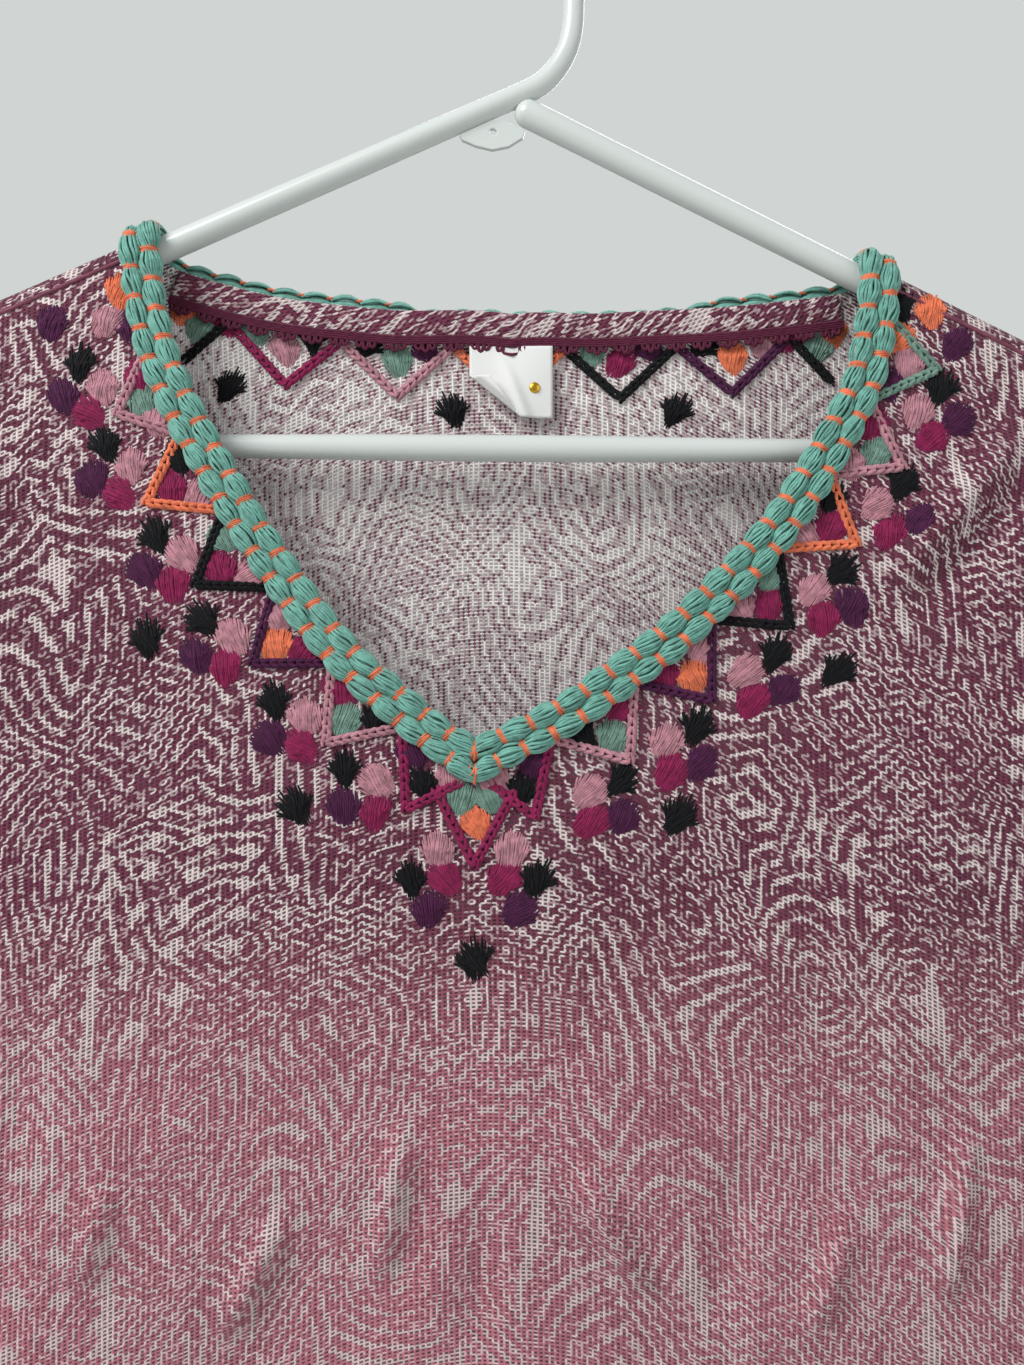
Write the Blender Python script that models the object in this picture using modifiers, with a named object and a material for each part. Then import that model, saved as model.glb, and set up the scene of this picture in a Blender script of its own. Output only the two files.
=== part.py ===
"""Long-sleeve V-neck top of gauze cotton, hanging flat on a tubular plastic hanger.

Metres, +Z up, front of the garment towards -Y. The origin is the inner top of the hanger's
hook. The hanger lies in the plane Y = 0. The cloth is a wall through rings and patches that
are worked out from the sizes below.
"""

import math

import bmesh
import bpy
import numpy as np
from mathutils import Vector

GAP = 0.0003
WALL = 0.0010
COLLECTION = "long_sleeve_top"

# Hanger
HOOK_RADIUS = 0.0220
HOOK_CENTRE_Z = -0.0190
HOOK_TUBE = 0.0030
HOOK_TIP_ANGLE = 205.0
ARM_TUBE = 0.0040
BAR_END_TUBE = 0.0035
ROOT_TUBE = 0.0034
NARROW_BAR_X = 0.09
HOOK_STEPS = 18
BEND_STEPS = 9
BEND_LEAD = 0.0010
APEX_Z = -0.0900
APEX_Z_RIGHT = -0.0880
SLOPE_LEFT = 0.435
SLOPE_RIGHT = 0.500
BEND_LEFT = 0.0100
BEND_RIGHT = 0.0070
BAR_Z_LEFT = -0.1915
BAR_Z_RIGHT = -0.1945
WEB_THICKNESS = 0.0020
WEB_HOLE = 0.0011

# Garment
SHOULDER_TIP_X = 0.2065
WRAP_RADIUS = 0.0054
SEAM_GAP = 0.0004
UNDERARM = (0.252, -0.385)
HEM_Z = -0.790
HEM_RISE = 0.010
HALF_HEM = 0.264
FULLNESS = 0.0110
FULLNESS_REACH = 0.100
FRONT_FLARE = 0.0060
BACK_FLARE = 0.0040
ARMHOLE_DEPTH = 0.0130
ARMHOLE_SHARE = 0.34
NECK_SHARE = 0.60
FACING_WIDTH = 0.0080
PICOT_WIDTH = 0.0032
PICOT_SCALLOPS = 34
PICOT_BITE = 0.0009
FACING_START = 0.0004
LABEL_SIZE = (0.0254, 0.0220)
LABEL_CENTRE_X = 0.0042
LABEL_THICKNESS = 0.0008

# Neck trim
STRAND_RADIUS = 0.0026
STRAND_WAIST = 0.76
STRAND_SPACING = 0.0059
BUNDLE_PITCH = 0.0090
POINT_MITRE = 1.17

# Neckline under the inner strand, from the shoulder crest down: x, z
FRONT_NECK_LEFT = (
    (-0.0988, -0.1575),
    (-0.0919, -0.1769),
    (-0.0789, -0.2007),
    (-0.0637, -0.2251),
    (-0.0431, -0.2525),
    (-0.0212, -0.2722),
    (-0.0063, -0.2830),
)
FRONT_NECK_RIGHT = (
    (0.1081, -0.1590),
    (0.1019, -0.1802),
    (0.0802, -0.2156),
    (0.0521, -0.2453),
    (0.0300, -0.2622),
    (0.0135, -0.2730),
    (-0.0063, -0.2830),
)
BACK_NECK_LEFT = (
    (-0.0980, -0.1372),
    (-0.0850, -0.1412),
    (-0.0610, -0.1462),
    (-0.0301, -0.1490),
    (0.0045, -0.1501),
)
BACK_NECK_RIGHT = (
    (0.1050, -0.1448),
    (0.0920, -0.1464),
    (0.0626, -0.1487),
    (0.0318, -0.1499),
    (0.0045, -0.1501),
)
NECK_CREST_X = {-1: -0.1025, 1: 0.1100}

# Right armhole below the shoulder crest, mirrored for the left: x, z
ARMHOLE = (
    (0.2035, -0.2250),
    (0.2040, -0.2750),
    (0.2130, -0.3250),
    (0.2290, -0.3640),
    UNDERARM,
)
SIDE_SEAM = (
    UNDERARM,
    (0.2470, -0.5000),
    (0.2520, -0.6400),
    (HALF_HEM, HEM_Z + HEM_RISE),
)

# Right sleeve's sections after the armhole, mirrored for the left:
# top x, top z, under x, under z, half depth
SLEEVE_SECTIONS = (
    (0.2320, -0.1990, 0.2565, -0.3865, 0.0165),
    (0.2620, -0.2160, 0.2595, -0.3890, 0.0200),
    (0.2960, -0.2470, 0.2625, -0.3930, 0.0240),
    (0.3250, -0.2890, 0.2655, -0.4000, 0.0270),
    (0.3450, -0.3370, 0.2685, -0.4130, 0.0290),
    (0.3580, -0.3850, 0.2710, -0.4330, 0.0300),
    (0.3660, -0.4300, 0.2725, -0.4620, 0.0300),
    (0.3715, -0.4750, 0.2735, -0.5000, 0.0290),
    (0.3750, -0.5200, 0.2740, -0.5400, 0.0275),
    (0.3760, -0.5700, 0.2750, -0.5850, 0.0255),
    (0.3760, -0.6200, 0.2765, -0.6300, 0.0235),
    (0.3750, -0.6650, 0.2790, -0.6720, 0.0215),
    (0.3720, -0.7050, 0.2820, -0.7090, 0.0200),
    (0.3680, -0.7400, 0.2840, -0.7420, 0.0185),
)
SLEEVE_FOLD = 0.10
SLEEVE_FOLD_COUNT = 3
SLEEVE_FOLD_TURN = 0.55

# Soft folds of the body: x at the hem, z where it starts, half width, depth at the hem, lean
FRONT_FOLDS = (
    (-0.205, -0.42, 0.022, 0.0085, 0.03),
    (-0.138, -0.50, 0.026, -0.0065, -0.05),
    (-0.062, -0.38, 0.028, 0.0095, 0.04),
    (0.014, -0.50, 0.025, -0.0060, 0.02),
    (0.078, -0.40, 0.027, 0.0090, -0.05),
    (0.150, -0.46, 0.026, -0.0070, 0.04),
    (0.212, -0.44, 0.021, 0.0075, -0.03),
)
BACK_FOLDS = (
    (-0.190, -0.40, 0.026, 0.0080, 0.03),
    (-0.105, -0.34, 0.030, -0.0060, 0.05),
    (-0.020, -0.42, 0.030, 0.0090, -0.02),
    (0.066, -0.36, 0.028, -0.0065, -0.04),
    (0.140, -0.44, 0.026, 0.0085, 0.03),
    (0.208, -0.48, 0.022, -0.0050, -0.02),
)

# Grid of the panels: columns to each side of the centre, and rows
NECK_COLUMNS = 9
SHOULDER_COLUMNS = 6
WRAP_ROWS = 6
ARMHOLE_ROWS = 7
BODY_ROWS = 13

QUARTER_WRAP = WRAP_RADIUS * math.pi / 2
FRONT, BACK = -1, 1


def smooth_line(points, steps=12):
    """A Catmull-Rom curve through the points, as an array."""
    rows = np.array(points, float)
    padded = np.vstack([2 * rows[0] - rows[1], rows, 2 * rows[-1] - rows[-2]])
    out = []
    for a, b, c, d in zip(padded, padded[1:], padded[2:], padded[3:]):
        for k in range(steps):
            u = k / steps
            out.append(
                0.5
                * (
                    2 * b
                    + (c - a) * u
                    + (2 * a - 5 * b + 4 * c - d) * u**2
                    + (3 * b - a - 3 * c + d) * u**3
                )
            )
    out.append(rows[-1])
    return np.array(out)


def along(line, share):
    """The point at this share of a line's length."""
    lengths = np.concatenate([[0], np.cumsum(np.linalg.norm(np.diff(line, axis=0), axis=1))])
    place = share * lengths[-1]
    return np.array([np.interp(place, lengths, line[:, k]) for k in range(line.shape[1])])


def smooth_step(value):
    value = min(max(value, 0.0), 1.0)
    return value * value * (3 - 2 * value)


def crest(x):
    """Height of the cloth where it lies over the hanger's arms. Between them it carries on, rounded."""
    blend_width = 0.05
    to_right = smooth_step((x + blend_width) / (2 * blend_width))
    slope = SLOPE_LEFT + (SLOPE_RIGHT - SLOPE_LEFT) * to_right
    apex = APEX_Z + (APEX_Z_RIGHT - APEX_Z) * to_right
    reach = abs(x)
    if reach < blend_width:
        reach = (x * x + blend_width**2) / (2 * blend_width)
    return apex - slope * reach + WRAP_RADIUS


def run_of(x, z):
    """Length of cloth from the crest down to height z."""
    return crest(x) - z - WRAP_RADIUS + QUARTER_WRAP


def to_runs(points, side):
    """Turns x, z rows into x, run rows of a side's half outline."""
    return [(x * side, run_of(x * side, z)) for x, z in points]


def fullness(drop, facing):
    """How far the cloth stands off the hanger's plane, this far below the crest."""
    flare = FRONT_FLARE if facing == FRONT else BACK_FLARE
    below = max(drop - WRAP_RADIUS, 0.0)
    swell = FULLNESS * (1 - math.exp(-below / FULLNESS_REACH))
    return WRAP_RADIUS + swell + flare * smooth_step(below / 0.6)


def armhole_depth(run, end_run):
    """Half the armhole's opening at this run, closing at the underarm."""
    share = min(max((run - QUARTER_WRAP) / (end_run - QUARTER_WRAP), 0.0), 1.0)
    seam_half = (WALL + GAP) / 2
    depth = WRAP_RADIUS * (1 - share) + ARMHOLE_DEPTH * math.sin(math.pi * share)
    return max(depth, seam_half)


def fold_depth(x, z, folds):
    """Sum of the soft vertical folds at a point."""
    total = 0.0
    for hem_x, start_z, half_width, depth, lean in folds:
        grown = smooth_step((start_z - z) / (start_z - HEM_Z))
        middle = hem_x + lean * (z - HEM_Z)
        total += depth * grown * math.exp(-(((x - middle) / half_width) ** 2))
    return total


def wrap_point(x, run):
    """A point of the cloth over the hanger's arm; run is the length from the crest, below 0 at the front."""
    angle = run / WRAP_RADIUS
    return Vector((x, WRAP_RADIUS * math.sin(angle), crest(x) - WRAP_RADIUS * (1 - math.cos(angle))))


class Patch:
    """Half of a panel: a surface between neckline and shoulder, side, hem and centre line."""

    def __init__(self, facing, side):
        self.facing = facing
        self.side = side
        neck = {
            (FRONT, -1): FRONT_NECK_LEFT,
            (FRONT, 1): FRONT_NECK_RIGHT,
            (BACK, -1): BACK_NECK_LEFT,
            (BACK, 1): BACK_NECK_RIGHT,
        }[facing, side]
        top_run = QUARTER_WRAP + (SEAM_GAP / 2 if facing == FRONT else 0.0)
        start = (NECK_CREST_X[side], top_run)
        self.neck = smooth_line([start, *[(x, run_of(x, z)) for x, z in neck]][::-1])
        tip = (side * SHOULDER_TIP_X, top_run)
        self.shoulder = np.array([start, tip])
        self.arm = smooth_line([tip, *to_runs(ARMHOLE, side)])
        self.seam = smooth_line(to_runs(SIDE_SEAM, side))
        self.underarm_run = self.arm[-1, 1]
        self.centre = np.array([self.neck[0], (0.0, run_of(0.0, HEM_Z))])

    def top(self, s):
        if s <= NECK_SHARE:
            return along(self.neck, s / NECK_SHARE)
        return along(self.shoulder, (s - NECK_SHARE) / (1 - NECK_SHARE))

    def edge(self, t):
        if t <= ARMHOLE_SHARE:
            return along(self.arm, t / ARMHOLE_SHARE)
        return along(self.seam, (t - ARMHOLE_SHARE) / (1 - ARMHOLE_SHARE))

    def bottom(self, s):
        x = self.side * HALF_HEM * s
        return np.array([x, run_of(x, HEM_Z + HEM_RISE * s * s)])

    def flat(self, s, t):
        """x and run of the point at s from centre to side and t from top to hem."""
        corners = (
            (1 - s) * (1 - t) * self.top(0)
            + s * (1 - t) * self.top(1)
            + (1 - s) * t * self.bottom(0)
            + s * t * self.bottom(1)
        )
        across = (1 - t) * self.top(s) + t * self.bottom(s)
        down = (1 - s) * along(self.centre, t) + s * self.edge(t)
        return across + down - corners

    def point(self, s, t):
        """The panel's middle surface in space."""
        x, run = self.flat(s, t)
        drop = run - QUARTER_WRAP + WRAP_RADIUS
        z = crest(x) - drop
        lens = math.sqrt(max(1 - s**4, 0.0))
        edge = armhole_depth(run, self.underarm_run) if t < ARMHOLE_SHARE else (WALL + GAP) / 2
        stand_off = edge + (fullness(drop, self.facing) - edge) * lens
        folds = FRONT_FOLDS if self.facing == FRONT else BACK_FOLDS
        stand_off += fold_depth(x, z, folds) * lens
        return Vector((x, self.facing * stand_off, z))

    def neck_frame(self, s):
        """Point, outward normal and into-the-cloth direction at the neck's edge."""
        step = 0.004
        low, high = max(s - step, 0.0), min(s + step, NECK_SHARE)
        direction = self.point(high, 0) - self.point(low, 0)
        x, run = self.flat(s, 0)
        drop = run - QUARTER_WRAP + WRAP_RADIUS
        lean = (fullness(drop + step, self.facing) - fullness(drop, self.facing)) / step
        slope = (crest(x + step) - crest(x - step)) / (2 * step)
        normal = Vector((-slope * lean, self.facing, lean)).normalized()
        into = direction.cross(normal).normalized()
        if into.x * self.side < into.z:
            into.negate()
        return self.point(s, 0), normal, into


def wrap_frame(side, run):
    """The neck's edge over the hanger's arm: point, outward normal and into-the-cloth direction."""
    angle = run / WRAP_RADIUS
    slope = SLOPE_LEFT if side < 0 else SLOPE_RIGHT
    normal = Vector((side * slope * math.cos(angle), math.sin(angle), math.cos(angle))).normalized()
    into = normal.cross(Vector((0, -math.cos(angle), math.sin(angle)))).normalized()
    return wrap_point(NECK_CREST_X[side], run), normal, into * side


def material(name, colour, roughness, metallic=0.0):
    made = bpy.data.materials.new(name)
    made.use_nodes = True
    shader = made.node_tree.nodes["Principled BSDF"]
    shader.inputs["Base Color"].default_value = (*colour, 1.0)
    shader.inputs["Roughness"].default_value = roughness
    shader.inputs["Metallic"].default_value = metallic
    made.diffuse_color = (*colour, 1.0)
    return made


def add_object(name, data, finish, collection):
    made = bpy.data.objects.new(name, data)
    data.materials.append(finish)
    collection.objects.link(made)
    return made


def thicken(made, thickness):
    wall = made.modifiers.new("wall", "SOLIDIFY")
    wall.thickness = thickness
    wall.offset = 0.0


def mesh_from(bm, name):
    bmesh.ops.recalc_face_normals(bm, faces=bm.faces)
    data = bpy.data.meshes.new(name)
    bm.to_mesh(data)
    bm.free()
    data.shade_smooth()
    return data


def grid(columns, rows, place):
    """A grid whose points are placed by place(column, row)."""
    bm = bmesh.new()
    bmesh.ops.create_grid(bm, x_segments=columns, y_segments=rows, size=1.0)
    for vert in bm.verts:
        column = (vert.co.x + 1) / 2 * columns
        row = (1 - vert.co.y) / 2 * rows
        vert.co = place(round(column), round(row))
    return bm


def column_share(column):
    """Share from the centre line to the side, with a column on the neck point."""
    if column <= NECK_COLUMNS:
        return NECK_SHARE * column / NECK_COLUMNS
    return NECK_SHARE + (1 - NECK_SHARE) * (column - NECK_COLUMNS) / SHOULDER_COLUMNS


def row_shares():
    """Shares from top to hem, with a row on the underarm."""
    arm = np.linspace(0.0, ARMHOLE_SHARE, ARMHOLE_ROWS + 1)[:-1]
    return [*arm, *np.linspace(ARMHOLE_SHARE, 1.0, BODY_ROWS + 1)]


def roll_over_arms(bm):
    """Carries the back's shoulder edges over the hanger's arms to the seam at the front."""
    last_run = QUARTER_WRAP - SEAM_GAP / 2
    for side in (-1, 1):
        neck_x = NECK_CREST_X[side] * side
        verts = [
            v for v in bm.verts if abs(crest(v.co.x) - v.co.z - WRAP_RADIUS) < 1e-6 and v.co.x * side > neck_x - 1e-6
        ]
        edges = [e for e in bm.edges if e.verts[0] in verts and e.verts[1] in verts]
        for k in range(1, WRAP_ROWS + 1):
            run = QUARTER_WRAP + (-last_run - QUARTER_WRAP) * k / WRAP_ROWS
            made = bmesh.ops.extrude_edge_only(bm, edges=edges)["geom"]
            edges = [g for g in made if isinstance(g, bmesh.types.BMEdge)]
            for vert in (g for g in made if isinstance(g, bmesh.types.BMVert)):
                vert.co = wrap_point(vert.co.x, run)


def make_panel(name, facing, finish, collection):
    patches = {side: Patch(facing, side) for side in (-1, 1)}
    shares = row_shares()
    half = NECK_COLUMNS + SHOULDER_COLUMNS

    def place(column, row):
        side = -1 if column < half else 1
        return patches[side].point(column_share(abs(column - half)), shares[row])

    bm = grid(2 * half, len(shares) - 1, place)
    if facing == BACK:
        roll_over_arms(bm)
    made = add_object(name, mesh_from(bm, name), finish, collection)
    thicken(made, WALL)
    return patches


def loft(name, rings):
    """A sleeve's skin through rings of points, each ring a loop."""
    bm = bmesh.new()
    loops = []
    for ring in rings:
        verts = [bm.verts.new(co) for co in ring]
        loops.append([bm.edges.new((verts[k], verts[k - 1])) for k in range(len(verts))])
    for first, second in zip(loops, loops[1:]):
        bmesh.ops.bridge_loops(bm, edges=first + second)
    return mesh_from(bm, name)


def armhole_ring(patches):
    """Angle and point round the armhole, from the crest down the front and up the back."""
    side = patches[FRONT].side
    end_run = patches[FRONT].underarm_run
    tip = side * (SHOULDER_TIP_X + GAP)
    shares = row_shares()[: ARMHOLE_ROWS + 1]
    halves = {}
    for facing, patch in patches.items():
        half = [(QUARTER_WRAP / 2, wrap_point(tip, facing * QUARTER_WRAP / 2))]
        for share in shares:
            low, high = max(share - 0.01, 0.0), min(share + 0.01, ARMHOLE_SHARE)
            fall = patch.point(1, high) - patch.point(1, low)
            away = Vector((-fall.z, 0, fall.x)).normalized() * side
            run = patch.flat(1, share)[1]
            clear = GAP + (WALL / 2 + GAP) * (run / end_run) ** 4
            half.append((run, patch.point(1, share) + away * clear))
        halves[facing] = half
    _, under = halves[FRONT].pop()
    halves[BACK].pop()
    under.y = 0.0

    def around(run):
        return math.acos(1 - 2 * min(run / end_run, 1.0))

    ring = [(0.0, wrap_point(tip, 0.0))]
    ring += [(around(run), point) for run, point in halves[FRONT]]
    ring += [(math.pi, under)]
    ring += [(2 * math.pi - around(run), point) for run, point in reversed(halves[BACK])]
    return ring


def sleeve_section(row, angle, side, index):
    top_x, top_z, under_x, under_z, half_depth = row
    middle = Vector((side * (top_x + under_x) / 2, 0, (top_z + under_z) / 2))
    reach = Vector((side * (top_x - under_x) / 2, 0, (top_z - under_z) / 2))
    grown = smooth_step(index / 5)
    wave = math.sin(SLEEVE_FOLD_COUNT * angle + SLEEVE_FOLD_TURN * index + side)
    fold = 1 + SLEEVE_FOLD * grown * wave
    across = Vector((0, -half_depth * math.sin(angle) * fold, 0))
    return middle + reach * math.cos(angle) + across


def make_sleeve(name, side, patches, finish, collection):
    start = armhole_ring(patches)
    rings = [[point for _, point in start]]
    for index, row in enumerate(SLEEVE_SECTIONS):
        rings.append([sleeve_section(row, angle, side, index) for angle, _ in start])
    thicken(add_object(name, loft(name, rings), finish, collection), WALL)


def neck_stations(front, back):
    """Frames round the neck, from the V's point up the left, behind the neck and down the right."""
    shares = np.linspace(0, NECK_SHARE, 60)
    turns = np.linspace(-QUARTER_WRAP, QUARTER_WRAP, 9)[1:-1]
    here, normal, _ = front[-1].neck_frame(0.0)
    stations = [(here, normal, Vector((0, 0, -POINT_MITRE)))]
    stations += [front[-1].neck_frame(s) for s in shares[1:]]
    stations += [wrap_frame(-1, run) for run in turns]
    stations += [back[-1].neck_frame(s) for s in reversed(shares[1:])]
    stations += [back[1].neck_frame(s) for s in shares[1:]]
    stations += [wrap_frame(1, run) for run in reversed(turns)]
    stations += [front[1].neck_frame(s) for s in reversed(shares[1:])]
    return stations


def make_strand(name, stations, away, finish, collection):
    """A closed strand of puffed bundles this far into the cloth, nipped in where each is wrapped."""
    lift = WALL / 2 + 2 * GAP + STRAND_RADIUS
    points = np.array([here + normal * lift + into * away for here, normal, into in stations])
    loop = np.vstack([points, points[:1]])
    length = np.linalg.norm(np.diff(loop, axis=0), axis=1).sum()
    count = 3 * round(length / BUNDLE_PITCH)
    line = bpy.data.curves.new(name, "CURVE")
    line.dimensions = "3D"
    line.bevel_depth = 1.0
    line.bevel_resolution = 1
    spline = line.splines.new("POLY")
    spline.points.add(count - 1)
    spline.use_cyclic_u = True
    for k, slot in enumerate(spline.points):
        slot.co = (*along(loop, k / count), 1.0)
        slot.radius = STRAND_RADIUS * (STRAND_WAIST if k % 3 == 0 else 1.0)
    add_object(name, line, finish, collection)


def inside_strip(back, away, columns, end_drop):
    """Places a grid inside the back neck: away(place, row) is the distance below the neck's edge."""
    limits = {}
    for side, patch in back.items():
        shares = np.linspace(0, NECK_SHARE, 200)
        below = [s for s in shares if patch.flat(s, 0)[1] > end_drop]
        limits[side] = max(below)

    def place(column, row):
        position = 2 * column / columns - 1
        side = -1 if position < 0 else 1
        share = abs(position) * limits[side]
        here, normal, into = back[side].neck_frame(share)
        if share == 0:
            into = Vector((0, 0, -1))
        return here - normal * (WALL + GAP) + into * away(column, row)

    return place


def make_facing(back, finish, collection):
    columns = 22
    place = inside_strip(back, lambda _, row: FACING_START + row * FACING_WIDTH, columns, end_drop=0.0150)
    data = mesh_from(grid(columns, 1, place), "back_neck_facing")
    thicken(add_object("back_neck_facing", data, finish, collection), WALL)


def make_picot(back, finish, collection):
    start = FACING_START + FACING_WIDTH + GAP
    columns = 2 * PICOT_SCALLOPS

    def away(column, row):
        if row == 0:
            return start
        bite = PICOT_BITE if column % 2 == 0 else 0.0
        return start + PICOT_WIDTH - bite

    place = inside_strip(back, away, columns, end_drop=0.0170)
    data = mesh_from(grid(columns, 1, place), "picot_tape")
    thicken(add_object("picot_tape", data, finish, collection), WALL)


def make_label(back, finish, collection):
    """A flat label hanging just below the tape, in front of the back's inner face."""
    here, normal, _ = back[1].neck_frame(0.02)
    top_z = here.z - FACING_START - FACING_WIDTH - PICOT_WIDTH - 3 * GAP
    y = here.y - (WALL + GAP) * abs(normal.y) - GAP
    width, height = LABEL_SIZE
    bm = bmesh.new()
    bmesh.ops.create_cube(bm, size=1.0)
    bmesh.ops.scale(bm, verts=bm.verts, vec=(width, LABEL_THICKNESS, height))
    bmesh.ops.translate(bm, verts=bm.verts, vec=(LABEL_CENTRE_X, y, top_z - height / 2))
    add_object("neck_label", mesh_from(bm, "neck_label"), finish, collection)


def tube(name, points, radii, finish, collection):
    """A round bar through x, z points in the hanger's plane."""
    line = bpy.data.curves.new(name, "CURVE")
    line.dimensions = "3D"
    line.bevel_depth = 1.0
    line.bevel_resolution = 3
    line.use_fill_caps = True
    spline = line.splines.new("POLY")
    spline.points.add(len(points) - 1)
    for slot, (x, z), radius in zip(spline.points, points, radii):
        slot.co = (x, 0.0, z, 1.0)
        slot.radius = radius
    return add_object(name, line, finish, collection)


def arc(centre, radius, start, end, steps):
    """x, z points round a centre, angles in degrees from +X towards +Z."""
    angles = np.radians(np.linspace(start, end, steps + 1))
    return [(centre[0] + radius * math.cos(a), centre[1] + radius * math.sin(a)) for a in angles]


def bend_centre(side):
    """Centre of the bend that joins an arm to the bar."""
    slope = SLOPE_LEFT if side < 0 else SLOPE_RIGHT
    radius = BEND_LEFT if side < 0 else BEND_RIGHT
    bar_z = BAR_Z_LEFT if side < 0 else BAR_Z_RIGHT
    apex = APEX_Z if side < 0 else APEX_Z_RIGHT
    angle = math.atan(slope)
    centre_z = bar_z + radius
    touch_z = centre_z + radius * math.cos(angle)
    touch_x = side * (apex - touch_z) / slope
    return (touch_x - side * radius * math.sin(angle), centre_z), radius, math.degrees(angle)


def left_line(x):
    return (x, APEX_Z + SLOPE_LEFT * x)


def right_line(x):
    return (x, APEX_Z_RIGHT - SLOPE_RIGHT * x)


def make_hanger(finish, collection):
    joint_x = 0.0040
    neck = smooth_line(
        (
            (HOOK_RADIUS, HOOK_CENTRE_Z),
            (0.0226, -0.0400),
            (0.0231, -0.0590),
            (0.0221, -0.0700),
            (0.0187, -0.0778),
            (0.0129, -0.0839),
            left_line(joint_x),
        ),
        steps=4,
    )
    bow = arc((0, HOOK_CENTRE_Z), HOOK_RADIUS, HOOK_TIP_ANGLE, 0, HOOK_STEPS)[:-1]
    hook = bow + [tuple(p) for p in neck]
    swell = [smooth_step((k - len(bow)) / len(neck)) for k in range(len(hook))]
    tube("hanger_hook", hook, [HOOK_TUBE + (ROOT_TUBE - HOOK_TUBE) * k for k in swell], finish, collection)

    left_centre, left_radius, left_angle = bend_centre(-1)
    right_centre, right_radius, right_angle = bend_centre(1)
    left_bend = arc(left_centre, left_radius, 90 + left_angle, 270, BEND_STEPS)
    right_bend = arc(right_centre, right_radius, -90, 90 - right_angle, BEND_STEPS)
    left_lead = left_bend[0][0] + BEND_LEAD
    right_lead = right_bend[-1][0] - BEND_LEAD

    left_x = (joint_x - GAP, -0.02, -0.06, -0.12, left_lead + GAP)
    left_radii = (ROOT_TUBE, 0.0036, 0.0038, ARM_TUBE, ARM_TUBE)
    tube("hanger_left_arm", [left_line(x) for x in left_x], left_radii, finish, collection)

    right_x = (0.0082, 0.0110, 0.0150, 0.06, 0.12, right_lead - GAP)
    right_radii = (0.0012, 0.0034, 0.0042, 0.0041, ARM_TUBE, ARM_TUBE)
    tube("hanger_right_arm", [right_line(x) for x in right_x], right_radii, finish, collection)

    bar_slope = (BAR_Z_RIGHT - BAR_Z_LEFT) / (right_centre[0] - left_centre[0])
    middle = [(x, BAR_Z_LEFT + bar_slope * (x - left_centre[0])) for x in (-NARROW_BAR_X, 0, NARROW_BAR_X)]
    bar = [left_line(left_lead), *left_bend, *middle, *right_bend, right_line(right_lead)]
    ends = [ARM_TUBE] * (BEND_STEPS + 2)
    tube("hanger_bar", bar, [*ends, BAR_END_TUBE, ARM_TUBE, BAR_END_TUBE, *ends], finish, collection)


def make_web(finish, collection):
    """The small flat plate in the fork under the apex, with a hole through it."""
    outline = (
        (-0.0112, -0.0995),
        (-0.0010, -0.0950),
        (0.0020, -0.0950),
        (0.0085, -0.0978),
        (0.0078, -0.1002),
        (0.0036, -0.1028),
        (-0.0014, -0.1038),
        (-0.0064, -0.1026),
        (-0.0105, -0.1008),
    )
    hole = arc((-0.0012, -0.0985), WEB_HOLE, 0, 330, 11)
    line = bpy.data.curves.new("hanger_web", "CURVE")
    line.dimensions = "2D"
    line.fill_mode = "BOTH"
    line.extrude = WEB_THICKNESS / 2
    for points in (outline, hole):
        spline = line.splines.new("POLY")
        spline.points.add(len(points) - 1)
        spline.use_cyclic_u = True
        for slot, (x, z) in zip(spline.points, points):
            slot.co = (x, z, 0.0, 1.0)
    made = add_object("hanger_web", line, finish, collection)
    made.rotation_euler = (math.pi / 2, 0, 0)


def main():
    for old in list(bpy.data.objects):
        bpy.data.objects.remove(old)
    collection = bpy.data.collections.new(COLLECTION)
    bpy.context.scene.collection.children.link(collection)

    cloth = material("gauze_cloth", (0.26, 0.11, 0.14), 0.9)
    facing = material("facing_cloth", (0.30, 0.14, 0.18), 0.9)
    tape = material("picot_tape", (0.10, 0.03, 0.06), 0.8)
    thread = material("trim_thread", (0.10, 0.24, 0.20), 0.7)
    label = material("label_weave", (0.75, 0.75, 0.74), 0.7)
    plastic = material("hanger_plastic", (0.62, 0.66, 0.64), 0.35)

    front = make_panel("front_panel", FRONT, cloth, collection)
    back = make_panel("back_panel", BACK, cloth, collection)
    for name, side in (("sleeve_left", -1), ("sleeve_right", 1)):
        make_sleeve(name, side, {FRONT: front[side], BACK: back[side]}, cloth, collection)
    stations = neck_stations(front, back)
    make_strand("neck_trim_inner", stations, 0.0, thread, collection)
    make_strand("neck_trim_outer", stations, STRAND_SPACING, thread, collection)
    make_facing(back, facing, collection)
    make_picot(back, tape, collection)
    make_label(back, label, collection)
    make_hanger(plastic, collection)
    make_web(plastic, collection)


main()
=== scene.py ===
"""Looks of a long-sleeve V-neck gauze top on its hanger, laid out as a Blender add-on.

Metres, +Z up, the garment's front towards -Y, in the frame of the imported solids. Cloth, threads
and hanger are worked out from the named sizes below, which are the sizes of the solids.
"""

import math
import random

import bmesh
import bpy
import numpy as np
from bpy.props import FloatProperty, FloatVectorProperty, IntProperty, PointerProperty
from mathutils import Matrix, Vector, noise
from mathutils.bvhtree import BVHTree


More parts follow.
